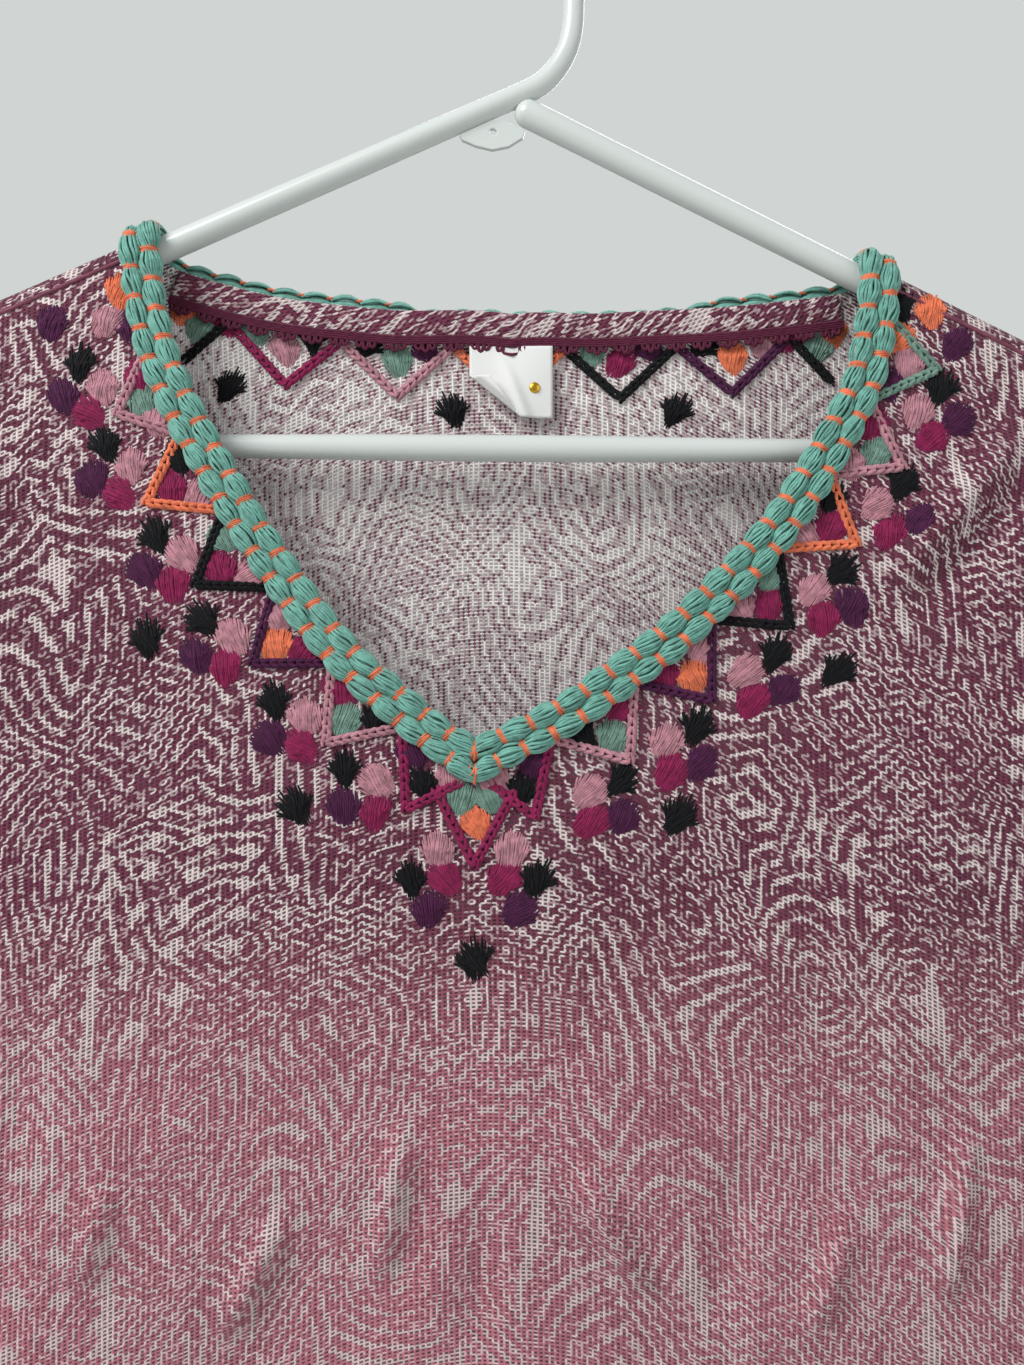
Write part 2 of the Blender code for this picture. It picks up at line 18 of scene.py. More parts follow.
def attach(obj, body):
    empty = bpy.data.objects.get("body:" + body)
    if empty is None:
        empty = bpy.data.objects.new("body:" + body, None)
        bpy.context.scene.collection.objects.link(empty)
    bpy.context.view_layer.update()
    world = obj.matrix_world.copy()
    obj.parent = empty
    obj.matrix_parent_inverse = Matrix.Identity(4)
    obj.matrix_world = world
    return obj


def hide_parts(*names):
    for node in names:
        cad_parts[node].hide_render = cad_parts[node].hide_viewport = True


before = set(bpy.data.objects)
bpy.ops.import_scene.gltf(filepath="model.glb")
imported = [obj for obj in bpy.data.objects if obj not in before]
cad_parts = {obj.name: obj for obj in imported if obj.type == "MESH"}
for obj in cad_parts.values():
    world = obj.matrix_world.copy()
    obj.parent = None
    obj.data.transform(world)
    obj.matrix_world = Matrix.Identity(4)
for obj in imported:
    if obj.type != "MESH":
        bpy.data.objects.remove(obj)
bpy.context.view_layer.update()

bl_info = {
    "name": "Gauze Top On A Hanger",
    "version": (1, 0, 0),
    "blender": (4, 5, 0),
    "location": "View3D > Sidebar > Gauze Top",
    "description": "Builds a V-neck gauze top with thread trim and embroidery, on a tubular hanger",
    "category": "Object",
}

BODY = "root"
FRONT, BACK = -1, 1

# Hanger, in its plane y = 0
HOOK_RADIUS = 0.0220
HOOK_CENTRE_Z = -0.0190
HOOK_TIP_ANGLE = 205.0
HOOK_TUBE = 0.0030
ROOT_TUBE = 0.0034
ARM_TUBE = 0.0040
BAR_END_TUBE = 0.0035
NARROW_BAR_X = 0.09
APEX_Z = -0.0900
APEX_Z_RIGHT = -0.0880
SLOPE_LEFT = 0.435
SLOPE_RIGHT = 0.500
BEND_LEFT = 0.0100
BEND_RIGHT = 0.0070
BAR_Z_LEFT = -0.1915
BAR_Z_RIGHT = -0.1945
JOINT_X = 0.0040
WEB_THICKNESS = 0.0020
WEB_HOLE = 0.0011

# Garment
SHOULDER_TIP_X = 0.2065
WRAP_RADIUS = 0.0054
SEAM_GAP = 0.0004
UNDERARM = (0.252, -0.385)
HEM_Z = -0.790
HEM_RISE = 0.010
HALF_HEM = 0.264
FULLNESS = 0.0110
FULLNESS_REACH = 0.100
FRONT_FLARE = 0.0060
BACK_FLARE = 0.0040
ARMHOLE_DEPTH = 0.0130
ARMHOLE_SHARE = 0.34
NECK_SHARE = 0.60
EDGE_HALF = 0.00065
FACING_START = 0.0004
FACING_WIDTH = 0.0080
PICOT_WIDTH = 0.0026
PICOT_LIFT = 0.0025
FACING_END = 0.93
CUFF_TURN = (0.200, 0.011)
CUFF_TURN_SECTIONS = 0.30
CUFF_MIDDLE_X = 0.326
CUFF_STITCHES = 46
HEM_TURN = (0.528, 0.0135)
HEM_TURN_SHARE = 0.9812
HEM_STITCH_SHARE = 0.9815
HEM_STITCHES = 63
SEAM_WELT = 0.0008
SEAM_THREAD = 0.00028
PANEL_TOP_Z = -0.129
PANEL_FLAT = (2 * HALF_HEM, PANEL_TOP_Z - HEM_Z)
SLEEVE_FLAT = (0.375, 0.600)
FACING_FLAT = (0.215, 0.0100)
LABEL_SIZE = (0.0254, 0.0220)
LABEL_CENTRE_X = 0.0042
LABEL_TOP_Z = -0.1604
BACK_SAG = 0.0026
BACK_SAG_X = 0.0175
BACK_SAG_REACH = 0.052
BACK_SAG_BLEND = 0.014
QUARTER_WRAP = WRAP_RADIUS * math.pi / 2

# Neckline under the trim's inner row, from the shoulder crest down: x, z
NECKLINE = {
    (FRONT, -1): (
        (-0.0988, -0.1575),
        (-0.0919, -0.1769),
        (-0.0789, -0.2007),
        (-0.0637, -0.2251),
        (-0.0431, -0.2525),
        (-0.0212, -0.2722),
        (-0.0063, -0.2830),
    ),
    (FRONT, 1): (
        (0.1081, -0.1590),
        (0.1019, -0.1802),
        (0.0802, -0.2156),
        (0.0521, -0.2453),
        (0.0300, -0.2622),
        (0.0135, -0.2730),
        (-0.0063, -0.2830),
    ),
    (BACK, -1): (
        (-0.0980, -0.1372),
        (-0.0850, -0.1412),
        (-0.0610, -0.1462),
        (-0.0301, -0.1490),
        (0.0045, -0.1501),
    ),
    (BACK, 1): (
        (0.1050, -0.1448),
        (0.0920, -0.1464),
        (0.0626, -0.1487),
        (0.0318, -0.1499),
        (0.0045, -0.1501),
    ),
}
NECK_CREST_X = {-1: -0.1025, 1: 0.1100}

# Right armhole and side seam, mirrored for the left: x, z
ARMHOLE = (
    (0.2035, -0.2250),
    (0.2040, -0.2750),
    (0.2130, -0.3250),
    (0.2290, -0.3640),
    UNDERARM,
)
SIDE_SEAM = (
    UNDERARM,
    (0.2470, -0.5000),
    (0.2520, -0.6400),
    (HALF_HEM, HEM_Z + HEM_RISE),
)

# Right sleeve's sections, mirrored for the left: top x, top z, under x, under z, half depth
SLEEVE_SECTIONS = (
    (0.2320, -0.1990, 0.2565, -0.3865, 0.0165),
    (0.2620, -0.2160, 0.2595, -0.3890, 0.0200),
    (0.2960, -0.2470, 0.2625, -0.3930, 0.0240),
    (0.3250, -0.2890, 0.2655, -0.4000, 0.0270),
    (0.3450, -0.3370, 0.2685, -0.4130, 0.0290),
    (0.3580, -0.3850, 0.2710, -0.4330, 0.0300),
    (0.3660, -0.4300, 0.2725, -0.4620, 0.0300),
    (0.3715, -0.4750, 0.2735, -0.5000, 0.0290),
    (0.3750, -0.5200, 0.2740, -0.5400, 0.0275),
    (0.3760, -0.5700, 0.2750, -0.5850, 0.0255),
    (0.3760, -0.6200, 0.2765, -0.6300, 0.0235),
    (0.3750, -0.6650, 0.2790, -0.6720, 0.0215),
    (0.3720, -0.7050, 0.2820, -0.7090, 0.0200),
    (0.3680, -0.7400, 0.2840, -0.7420, 0.0185),
)
SLEEVE_FOLD = 0.10
SLEEVE_FOLD_COUNT = 3
SLEEVE_FOLD_TURN = 0.55

# Soft folds of the body: x at the hem, z where it starts, half width, depth at the hem, lean
FOLDS = {
    FRONT: (
        (-0.205, -0.42, 0.022, 0.0085, 0.03),
        (-0.138, -0.50, 0.026, -0.0065, -0.05),
        (-0.062, -0.38, 0.028, 0.0095, 0.04),
        (0.014, -0.50, 0.025, -0.0060, 0.02),
        (0.078, -0.40, 0.027, 0.0090, -0.05),
        (0.150, -0.46, 0.026, -0.0070, 0.04),
        (0.212, -0.44, 0.021, 0.0075, -0.03),
    ),
    BACK: (
        (-0.190, -0.40, 0.026, 0.0080, 0.03),
        (-0.105, -0.34, 0.030, -0.0060, 0.05),
        (-0.020, -0.42, 0.030, 0.0090, -0.02),
        (0.066, -0.36, 0.028, -0.0065, -0.04),
        (0.140, -0.44, 0.026, 0.0085, 0.03),
        (0.208, -0.48, 0.022, -0.0050, -0.02),
    ),
}

# Short creases: x and z of each end, half width, height above the cloth
CREASES = {
    FRONT: (
        (0.1540, -0.1900, 0.1160, -0.2320, 0.0050, 0.0055),
        (0.1600, -0.2010, 0.1230, -0.2410, 0.0050, -0.0045),
        (-0.1440, -0.2050, -0.1280, -0.2420, 0.0060, -0.0022),
        (-0.0266, -0.3920, -0.0340, -0.4330, 0.0035, 0.0062),
        (-0.0603, -0.4160, -0.0780, -0.4480, 0.0034, 0.0058),
        (-0.1113, -0.4060, -0.1185, -0.4350, 0.0038, 0.0046),
        (-0.1360, -0.3600, -0.1410, -0.4300, 0.0080, -0.0030),
        (-0.0020, -0.4060, -0.0060, -0.4560, 0.0060, -0.0028),
        (0.0240, -0.4040, 0.0440, -0.4360, 0.0035, 0.0060),
        (0.0700, -0.3960, 0.0640, -0.4460, 0.0066, -0.0026),
        (0.1000, -0.4180, 0.0900, -0.4480, 0.0038, 0.0046),
        (0.1352, -0.3940, 0.1278, -0.4400, 0.0037, 0.0054),
        (-0.1500, -0.4700, -0.0900, -0.4900, 0.0060, -0.0018),
        (0.0400, -0.5300, 0.1200, -0.5100, 0.0070, -0.0020),
    ),
    BACK: (
        (-0.140, -0.200, -0.100, -0.246, 0.0055, -0.0024),
        (0.150, -0.230, 0.110, -0.270, 0.0060, -0.0022),
        (-0.050, -0.400, -0.062, -0.450, 0.0040, 0.0026),
        (0.070, -0.380, 0.058, -0.430, 0.0040, 0.0028),
        (0.010, -0.520, 0.090, -0.500, 0.0070, -0.0018),
    ),
}
RUMPLE_HEIGHT = 0.0019
RUMPLE_SIZE = 0.030
RUMPLE_FINE = 0.45

# Zigzag teeth up each side of the front neck, from the V: line, diamond at the corner, two inside
FRONT_TEETH = (
    ("magenta", "black", "purple", "pink"),
    ("pink", "sage", "magenta", "black"),
    ("purple", "orange", "pink", "magenta"),
    ("black", "magenta", "sage", "pink"),
    ("orange", "magenta", "black", "pink"),
    ("pink", "sage", "magenta", "pink"),
    ("sage", "pink", "orange", "purple"),
)

# On each side of the neck: lengths from the V up the neckline, and reaches out from it
TOOTH_FOOT = 0.0066
TOOTH_CORNERS = {
    -1: (
        (0.0072, 0.0250),
        (0.0338, 0.0245),
        (0.0604, 0.0245),
        (0.0870, 0.0250),
        (0.1136, 0.0250),
        (0.1388, 0.0205),
    ),
    1: (
        (0.0072, 0.0250),
        (0.0352, 0.0241),
        (0.0632, 0.0241),
        (0.0912, 0.0241),
        (0.1184, 0.0241),
        (0.1426, 0.0241),
        (0.1668, 0.0232),
    ),
}
CLUSTERS = {
    -1: (
        (0.0177, 0.0288),
        (0.0436, 0.0284),
        (0.0701, 0.0302),
        (0.0969, 0.0290),
        (0.1261, 0.0293),
        (0.1475, 0.0271),
    ),
    1: (
        (0.0255, 0.0305),
        (0.0492, 0.0308),
        (0.0765, 0.0295),
        (0.1043, 0.0276),
        (0.1320, 0.0285),
        (0.1580, 0.0268),
    ),
}
LONE_DIAMONDS = {
    -1: ((0.0286, 0.0442), (0.0825, 0.0454)),
    1: ((0.0369, 0.0452), (0.0912, 0.0430)),
}

# Diamonds under the shoulder: thread, and x and z from a point beside the neck
SHOULDER_DIAMONDS = {
    -1: (
        ("pink", 0.0030, -0.0020),
        ("purple", 0.0100, -0.0038),
        ("purple", -0.0137, -0.0022),
        ("orange", 0.0066, 0.0071),
    ),
    1: (
        ("black", -0.0060, 0.0115),
        ("purple", 0.0106, 0.0),
        ("orange", 0.0032, 0.0100),
    ),
}

# Four diamonds between two teeth: away from the neck, up, thread. They turn more up the neckline
CLUSTER = (
    (0.92, 1.20, "black"),
    (-0.90, 0.63, "pink"),
    (0.87, -0.85, "purple"),
    (-0.88, -1.04, "magenta"),
)
CLUSTER_HALF = 0.0052
CLUSTER_TURN = 0.085

# Diamonds inside a tooth: in from its corner, along to each side of its middle, and out
CORNER_IN = 0.0085
UPPER_ALONG = 0.0068
LOWER_ALONG = 0.0062
PAIR_REACH = 0.0104

# Round the V's point, x and z from it: a tooth's foot, the middle tooth, its diamonds, and a cluster
FIRST_FOOT = (0.0045, -0.0092)
MIDDLE_TOOTH = ((-0.0112, -0.0110), (0.0, -0.0330), (0.0118, -0.0110))
MIDDLE_DIAMONDS = (
    ("sage", -0.0040, -0.0132, 0.90),
    ("sage", 0.0044, -0.0132, 0.90),
    ("orange", 0.0004, -0.0208, 0.90),
    ("black", 0.0, -0.0600, 1.10),
)
MIDDLE_CLUSTER = (
    ("pink", 0.0105, -0.0285),
    ("magenta", 0.0085, -0.0365),
    ("black", 0.0180, -0.0370),
    ("purple", 0.0130, -0.0455),
)
SHOULDER_PLACE = (0.0150, -0.0260)

# Teeth behind the neck, from the picture's left: line, diamond inside, one to each side
BACK_TEETH = (
    ("black", "sage", "orange", "magenta"),
    ("magenta", "pink", "sage", "black"),
    ("pink", "sage", "black", "purple"),
    ("orange", "magenta", "pink", "purple"),
    ("black", "magenta", "sage", "purple"),
    ("purple", "orange", "black", "pink"),
    ("black", "sage", "magenta", "orange"),
)
BACK_PITCH = 0.0343
BACK_MIDDLE_X = 0.0035
BACK_FOOT = 0.0110
BACK_CORNER = 0.0262
BACK_ENDS = (-0.0955, 0.1025)
THREADS = ("magenta", "pink", "purple", "black", "orange", "sage")


def srgb(red, green, blue):
    """A colour of the screen, 0 to 255, as the linear values that shaders take."""
    return tuple(
        c / 12.92 if c <= 0.04045 else ((c + 0.055) / 1.055) ** 2.4
        for c in (red / 255, green / 255, blue / 255)
    )


def colour_property(name, description, value):
    return FloatVectorProperty(
        name=name, description=description, subtype="COLOR", size=3, min=0, max=1, default=srgb(*value)
    )


def length_property(name, description, value):
    return FloatProperty(
        name=name,
        description=description,
        default=value,
        min=0,
        precision=5,
        subtype="DISTANCE",
        unit="LENGTH",
    )


def height_property(name, description, value):
    return FloatProperty(name=name, description=description, default=value, unit="LENGTH")


class TopClothSettings(bpy.types.PropertyGroup):
    thickness: length_property("Thickness", "Thickness of the gauze", 0.0005)
    thread_across: length_property("Thread pitch across", "Width of one cell of the gauze", 0.0016)
    thread_down: length_property("Thread pitch down", "Height of one cell of the gauze", 0.00112)
    columns: IntProperty(name="Columns", description="Faces across each half of a panel", default=110, min=12)
    rows: IntProperty(name="Rows", description="Faces down a panel", default=170, min=12)
    plum: colour_property("Plum", "Print on the upper part", (112, 50, 74))
    rose: colour_property("Rose", "Print on the lower part", (181, 113, 126))
    bare: colour_property("Bare thread", "Cotton where nothing is printed", (222, 203, 203))
    unprinted: colour_property("Unprinted side", "Cotton on the wrong side of the print", (240, 231, 229))
    fade_top: height_property("Fade top", "Height where plum starts to fade", -0.318)
    fade_end: height_property("Fade end", "Height where the cloth is all rose", -0.395)
    leaf_width: length_property("Leaf width", "Width of one printed leaf", 0.040)
    leaf_length: length_property("Leaf length", "Length of one printed leaf", 0.090)
    line_pitch: length_property("Line pitch", "Distance from one printed line to the next", 0.0044)


class TopTrimSettings(bpy.types.PropertyGroup):
    bundle: length_property("Bundle length", "Length of one puffed bundle of thread", 0.0090)
    spacing: length_property("Row spacing", "Distance from the inner row to the outer row", 0.0056)
    half_width: length_property("Half width", "Half the width of a bundle", 0.0032)
    threads: IntProperty(name="Threads", description="Threads that show in a bundle", default=18, min=5)
    teal: colour_property("Teal", "Thread of the bundles", (112, 168, 155))
    orange: colour_property("Orange", "Thread of the wraps", (220, 118, 84))


class TopStitchSettings(bpy.types.PropertyGroup):
    link: length_property("Link length", "Length of one chain stitch", 0.0026)
    line: length_property("Line width", "Width of a chain stitched line", 0.0032)
    diamond: length_property("Diamond", "Half height of a satin diamond", 0.0055)
    magenta: colour_property("Magenta", "Embroidery thread", (132, 30, 76))
    pink: colour_property("Dusty pink", "Embroidery thread", (180, 128, 140))
    purple: colour_property("Purple", "Embroidery thread", (72, 25, 62))
    black: colour_property("Black", "Embroidery thread", (9, 10, 14))
    sage: colour_property("Sage", "Embroidery thread", (112, 142, 130))


class TopHangerSettings(bpy.types.PropertyGroup):
    gold: colour_property("Gold", "Colour of the small dome on the label", (224, 176, 60))


class TopStageSettings(bpy.types.PropertyGroup):
    floor: colour_property("Floor", "Colour of the floor", (216, 218, 216))
    surround: colour_property("Surround", "Colour of the light all round", (208, 212, 211))
    ambient: FloatProperty(name="Ambient", description="How much the surround lights the cloth", default=0.55, min=0)
    camera_distance: length_property("Camera distance", "From the hanger's plane to the camera", 0.400)


def settings():
    return bpy.context.scene.gauze_top


class TopSettings(bpy.types.PropertyGroup):
    cloth: PointerProperty(type=TopClothSettings)
    trim: PointerProperty(type=TopTrimSettings)
    stitch: PointerProperty(type=TopStitchSettings)
    hanger: PointerProperty(type=TopHangerSettings)
    stage: PointerProperty(type=TopStageSettings)


# Lines and surfaces


class Line:
    """A line through points, read by share of its length."""

    def __init__(self, points):
        self.points = np.array(points, float)
        steps = np.linalg.norm(np.diff(self.points, axis=0), axis=1)
        self.lengths = np.concatenate([[0.0], np.cumsum(steps)])

    def at(self, share):
        place = share * self.lengths[-1]
        return np.array([np.interp(place, self.lengths, column) for column in self.points.T])


def curve_point(a, b, c, d, u):
    """The point at u, 0 to 1, from b to c on the Catmull-Rom curve through four points."""
    cubic = 3 * b - a - 3 * c + d
    return 0.5 * (2 * b + (c - a) * u + (2 * a - 5 * b + 4 * c - d) * u**2 + cubic * u**3)


def smooth_line(points, steps=12):
    """A Catmull-Rom curve through the points."""
    rows = np.array(points, float)
    padded = np.vstack([2 * rows[0] - rows[1], rows, 2 * rows[-1] - rows[-2]])
    out = []
    for corners in zip(padded, padded[1:], padded[2:], padded[3:]):
        out += [curve_point(*corners, u) for u in np.arange(steps) / steps]
    out.append(rows[-1])
    return Line(out)


def smooth_step(value):
    value = min(max(value, 0.0), 1.0)
    return value * value * (3 - 2 * value)


def crest(x):
    """Height of the cloth where it lies over the hanger's arms. Between them it carries on, rounded."""
    blend_width = 0.05
    to_right = smooth_step((x + blend_width) / (2 * blend_width))
    slope = SLOPE_LEFT + (SLOPE_RIGHT - SLOPE_LEFT) * to_right
    apex = APEX_Z + (APEX_Z_RIGHT - APEX_Z) * to_right
    reach = abs(x)
    if reach < blend_width:
        reach = (x * x + blend_width**2) / (2 * blend_width)
    return apex - slope * reach + WRAP_RADIUS


def run_of(x, z):
    """Length of cloth from the crest down to height z."""
    return crest(x) - z - WRAP_RADIUS + QUARTER_WRAP


def fullness(drop, facing):
    """How far the cloth stands off the hanger's plane, this far below the crest."""
    flare = FRONT_FLARE if facing == FRONT else BACK_FLARE
    below = max(drop - WRAP_RADIUS, 0.0)
    swell = FULLNESS * (1 - math.exp(-below / FULLNESS_REACH))
    return WRAP_RADIUS + swell + flare * smooth_step(below / 0.6)


def armhole_depth(run, end_run):
    """Half the armhole's opening at this run, closing at the underarm."""
    share = min(max((run - QUARTER_WRAP) / (end_run - QUARTER_WRAP), 0.0), 1.0)
    depth = WRAP_RADIUS * (1 - share) + ARMHOLE_DEPTH * math.sin(math.pi * share)
    return max(depth, EDGE_HALF)


def fold_depth(x, z, facing):
    """Sum of the soft vertical folds at a point."""
    total = 0.0
    for hem_x, start_z, half_width, depth, lean in FOLDS[facing]:
        grown = smooth_step((start_z - z) / (start_z - HEM_Z))
        middle = hem_x + lean * (z - HEM_Z)
        total += depth * grown * math.exp(-(((x - middle) / half_width) ** 2))
    return total


def crease_depth(x, z, facing):
    """Short creases and a faint unevenness over the folds."""
    total = 0.0
    for x0, z0, x1, z1, half_width, height in CREASES[facing]:
        length = math.hypot(x1 - x0, z1 - z0)
        along = ((x - x0) * (x1 - x0) + (z - z0) * (z1 - z0)) / length**2
        if -0.4 < along < 1.4:
            off = ((x - x0) * (z1 - z0) - (z - z0) * (x1 - x0)) / length
            taper = math.exp(-((2.2 * (along - 0.5)) ** 4))
            total += height * taper * math.exp(-((off / half_width) ** 2))
    rough = smooth_step((-0.18 - z) / 0.25)
    wave = noise.noise(Vector((x, facing * 0.2, z * 0.7)) / RUMPLE_SIZE)
    fine = noise.noise(Vector((x + 3, facing * 0.2, z * 0.6)) / (RUMPLE_SIZE * 0.42))
    return total + rough * RUMPLE_HEIGHT * (wave + RUMPLE_FINE * fine)


def wrap_point(x, run):
    """A point of the cloth over the hanger's arm. The run from the crest is below 0 at the front."""
    angle = run / WRAP_RADIUS
    return Vector((x, WRAP_RADIUS * math.sin(angle), crest(x) - WRAP_RADIUS * (1 - math.cos(angle))))


class Patch:
    """Half of a panel: a surface between neckline and shoulder, side, hem and centre line."""

    def __init__(self, facing, side):
        self.facing = facing
        self.side = side
        top_run = QUARTER_WRAP + (SEAM_GAP / 2 if facing == FRONT else 0.0)
        start = (NECK_CREST_X[side], top_run)
        neck = [(x, run_of(x, z)) for x, z in NECKLINE[facing, side]]
        self.neck = smooth_line([start, *neck][::-1])
        tip = (side * SHOULDER_TIP_X, top_run)
        self.shoulder = Line([start, tip])
        self.arm = smooth_line([tip, *[(x * side, run_of(x * side, z)) for x, z in ARMHOLE]])
        self.seam = smooth_line([(x * side, run_of(x * side, z)) for x, z in SIDE_SEAM])
        self.underarm_run = self.arm.points[-1, 1]
        self.centre = Line([self.neck.points[0], (0.0, run_of(0.0, HEM_Z))])

    def top(self, s):
        if s <= NECK_SHARE:
            return self.neck.at(s / NECK_SHARE)
        return self.shoulder.at((s - NECK_SHARE) / (1 - NECK_SHARE))

    def edge(self, t):
        if t <= ARMHOLE_SHARE:
            return self.arm.at(t / ARMHOLE_SHARE)
        return self.seam.at((t - ARMHOLE_SHARE) / (1 - ARMHOLE_SHARE))

    def bottom(self, s):
        x = self.side * HALF_HEM * s
        return np.array([x, run_of(x, HEM_Z + HEM_RISE * s * s)])

    def flat(self, s, t):
        """x and run of the point at s from centre to side and t from top to hem."""
        corners = (
            (1 - s) * (1 - t) * self.top(0)
            + s * (1 - t) * self.top(1)
            + (1 - s) * t * self.bottom(0)
            + s * t * self.bottom(1)
        )
        across = (1 - t) * self.top(s) + t * self.bottom(s)
        down = (1 - s) * self.centre.at(t) + s * self.edge(t)
        return across + down - corners

    def place(self, s, t):
        """The cloth's middle in space, and its x and run as it was cut."""
        x, run = self.flat(s, t)
        drop = run - QUARTER_WRAP + WRAP_RADIUS
        z = crest(x) - drop
        lens = math.sqrt(max(1 - s**4, 0.0))
        edge = armhole_depth(run, self.underarm_run) if t < ARMHOLE_SHARE else EDGE_HALF
        stand_off = edge + (fullness(drop, self.facing) - edge) * lens
        stand_off += (fold_depth(x, z, self.facing) + crease_depth(x, z, self.facing)) * lens
        return Vector((x, self.facing * stand_off, z)), (x, run)

    def neck_frame(self, s):
        """Point, outward normal and into-the-cloth direction at the neck's edge."""
        step = 0.004
        low, high = max(s - step, 0.0), min(s + step, NECK_SHARE)
        direction = self.place(high, 0)[0] - self.place(low, 0)[0]
        x, run = self.flat(s, 0)
        drop = run - QUARTER_WRAP + WRAP_RADIUS
        lean = (fullness(drop + step, self.facing) - fullness(drop, self.facing)) / step
        slope = (crest(x + step) - crest(x - step)) / (2 * step)
        normal = Vector((-slope * lean, self.facing, lean)).normalized()
        into = direction.cross(normal).normalized()
        if into.x * self.side < into.z:
            into.negate()
        return self.place(s, 0)[0], normal, into


def wrap_frame(side, run):
    """The neck's edge over the hanger's arm: point, outward normal and into-the-cloth direction."""
    angle = run / WRAP_RADIUS
    slope = SLOPE_LEFT if side < 0 else SLOPE_RIGHT
    normal = Vector((side * slope * math.cos(angle), math.sin(angle), math.cos(angle))).normalized()
    into = normal.cross(Vector((0, -math.cos(angle), math.sin(angle)))).normalized()
    return wrap_point(NECK_CREST_X[side], run), normal, into * side


PATCHES = {(facing, side): Patch(facing, side) for facing in (FRONT, BACK) for side in (-1, 1)}


class NeckPath:
    """Frames all round the neck, read by length from the V's point up the picture's left."""

    def __init__(self):
        shares = np.linspace(0, NECK_SHARE, 90)
        turns = np.linspace(-QUARTER_WRAP, QUARTER_WRAP, 12)[1:-1]
        here, normal, _ = PATCHES[FRONT, -1].neck_frame(0.0)
        frames = [(here, normal, Vector((0, 0, -1.17)))]
        frames += [PATCHES[FRONT, -1].neck_frame(s) for s in shares[1:]]
        frames += [wrap_frame(-1, run) for run in turns]
        frames += [PATCHES[BACK, -1].neck_frame(s) for s in shares[::-1][:-1]]
        frames += [PATCHES[BACK, 1].neck_frame(s) for s in shares]
        frames += [wrap_frame(1, run) for run in turns[::-1]]
        frames += [PATCHES[FRONT, 1].neck_frame(s) for s in shares[::-1][:-1]]
        frames += frames[:1]
        self.rows = np.array([[*here, *normal, *into] for here, normal, into in frames])
        steps = np.linalg.norm(np.diff(self.rows[:, :3], axis=0), axis=1)
        self.lengths = np.concatenate([[0.0], np.cumsum(steps)])
        self.length = self.lengths[-1]

    def at(self, place):
        row = [np.interp(place % self.length, self.lengths, column) for column in self.rows.T]
        return Vector(row[:3]), Vector(row[3:6]).normalized(), Vector(row[6:9])


# Meshes


def weave_grid(bm, columns, rows, place):
    """A grid whose points and weave coordinates come from place(column, row)."""
    layer = bm.loops.layers.uv.get("weave") or bm.loops.layers.uv.new("weave")
    for vert in bmesh.ops.create_grid(bm, x_segments=columns, y_segments=rows, size=1.0)["verts"]:
        column = round((vert.co.x + 1) / 2 * columns)
        row = round((1 - vert.co.y) / 2 * rows)
        vert.co, weave = place(column, row)
        for loop in vert.link_loops:
            loop[layer].uv = weave


def face_outward(bm):
    """Turns an open sheet so that the side away from the hanger's plane is its outside."""
    bmesh.ops.recalc_face_normals(bm, faces=bm.faces)
    bm.normal_update()
    far = max(bm.faces, key=lambda face: abs(face.calc_center_median().y))
    if far.normal.y * far.calc_center_median().y < 0:
        bmesh.ops.reverse_faces(bm, faces=bm.faces)


def add_mesh(name, bm, *materials):
    data = bpy.data.meshes.new(name)
    bm.to_mesh(data)
    bm.free()
    data.shade_smooth()
    for made in materials:
        data.materials.append(made)
    piece = bpy.data.objects.new(name, data)
    bpy.context.scene.collection.objects.link(piece)
    return piece


def add_sheet(name, bm, outside, inside, thickness):
    """A closed thin shell on a sheet, with its own finish on each side."""
    piece = add_mesh(name, bm, outside, inside)
    wall = piece.modifiers.new("wall", "SOLIDIFY")
    wall.thickness = thickness
    wall.offset = 0.0
    wall.material_offset = 1
    wall.use_quality_normals = True
    return piece


def add_strokes(name, strokes, finish, resolution=0):
    """One mesh of many round strokes, each a list of (point, radius)."""
    line = bpy.data.curves.new(name, "CURVE")
    line.dimensions = "3D"
    line.bevel_depth = 1.0
    line.bevel_resolution = resolution
    line.use_fill_caps = True
    for stroke in strokes:
        spline = line.splines.new("POLY")
        spline.points.add(len(stroke) - 1)
        spline.points.foreach_set("co", [c for point, _ in stroke for c in (*point, 1.0)])
        spline.points.foreach_set("radius", [radius for _, radius in stroke])
    holder = bpy.data.objects.new(name, line)
    bpy.context.scene.collection.objects.link(holder)
    graph = bpy.context.evaluated_depsgraph_get()
    data = bpy.data.meshes.new_from_object(holder.evaluated_get(graph))
    bpy.data.objects.remove(holder)
    bpy.data.curves.remove(line)
    data.name = name
    data.materials.clear()
    data.materials.append(finish)
    data.shade_smooth()
    piece = bpy.data.objects.new(name, data)
    bpy.context.scene.collection.objects.link(piece)
    return piece


def settle(piece, slot, *nodes):
    """Rides the piece on the body and hides the solids that it stands for; its slot is not used."""
    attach(piece, BODY)
    if nodes:
        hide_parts(*nodes)


# Materials


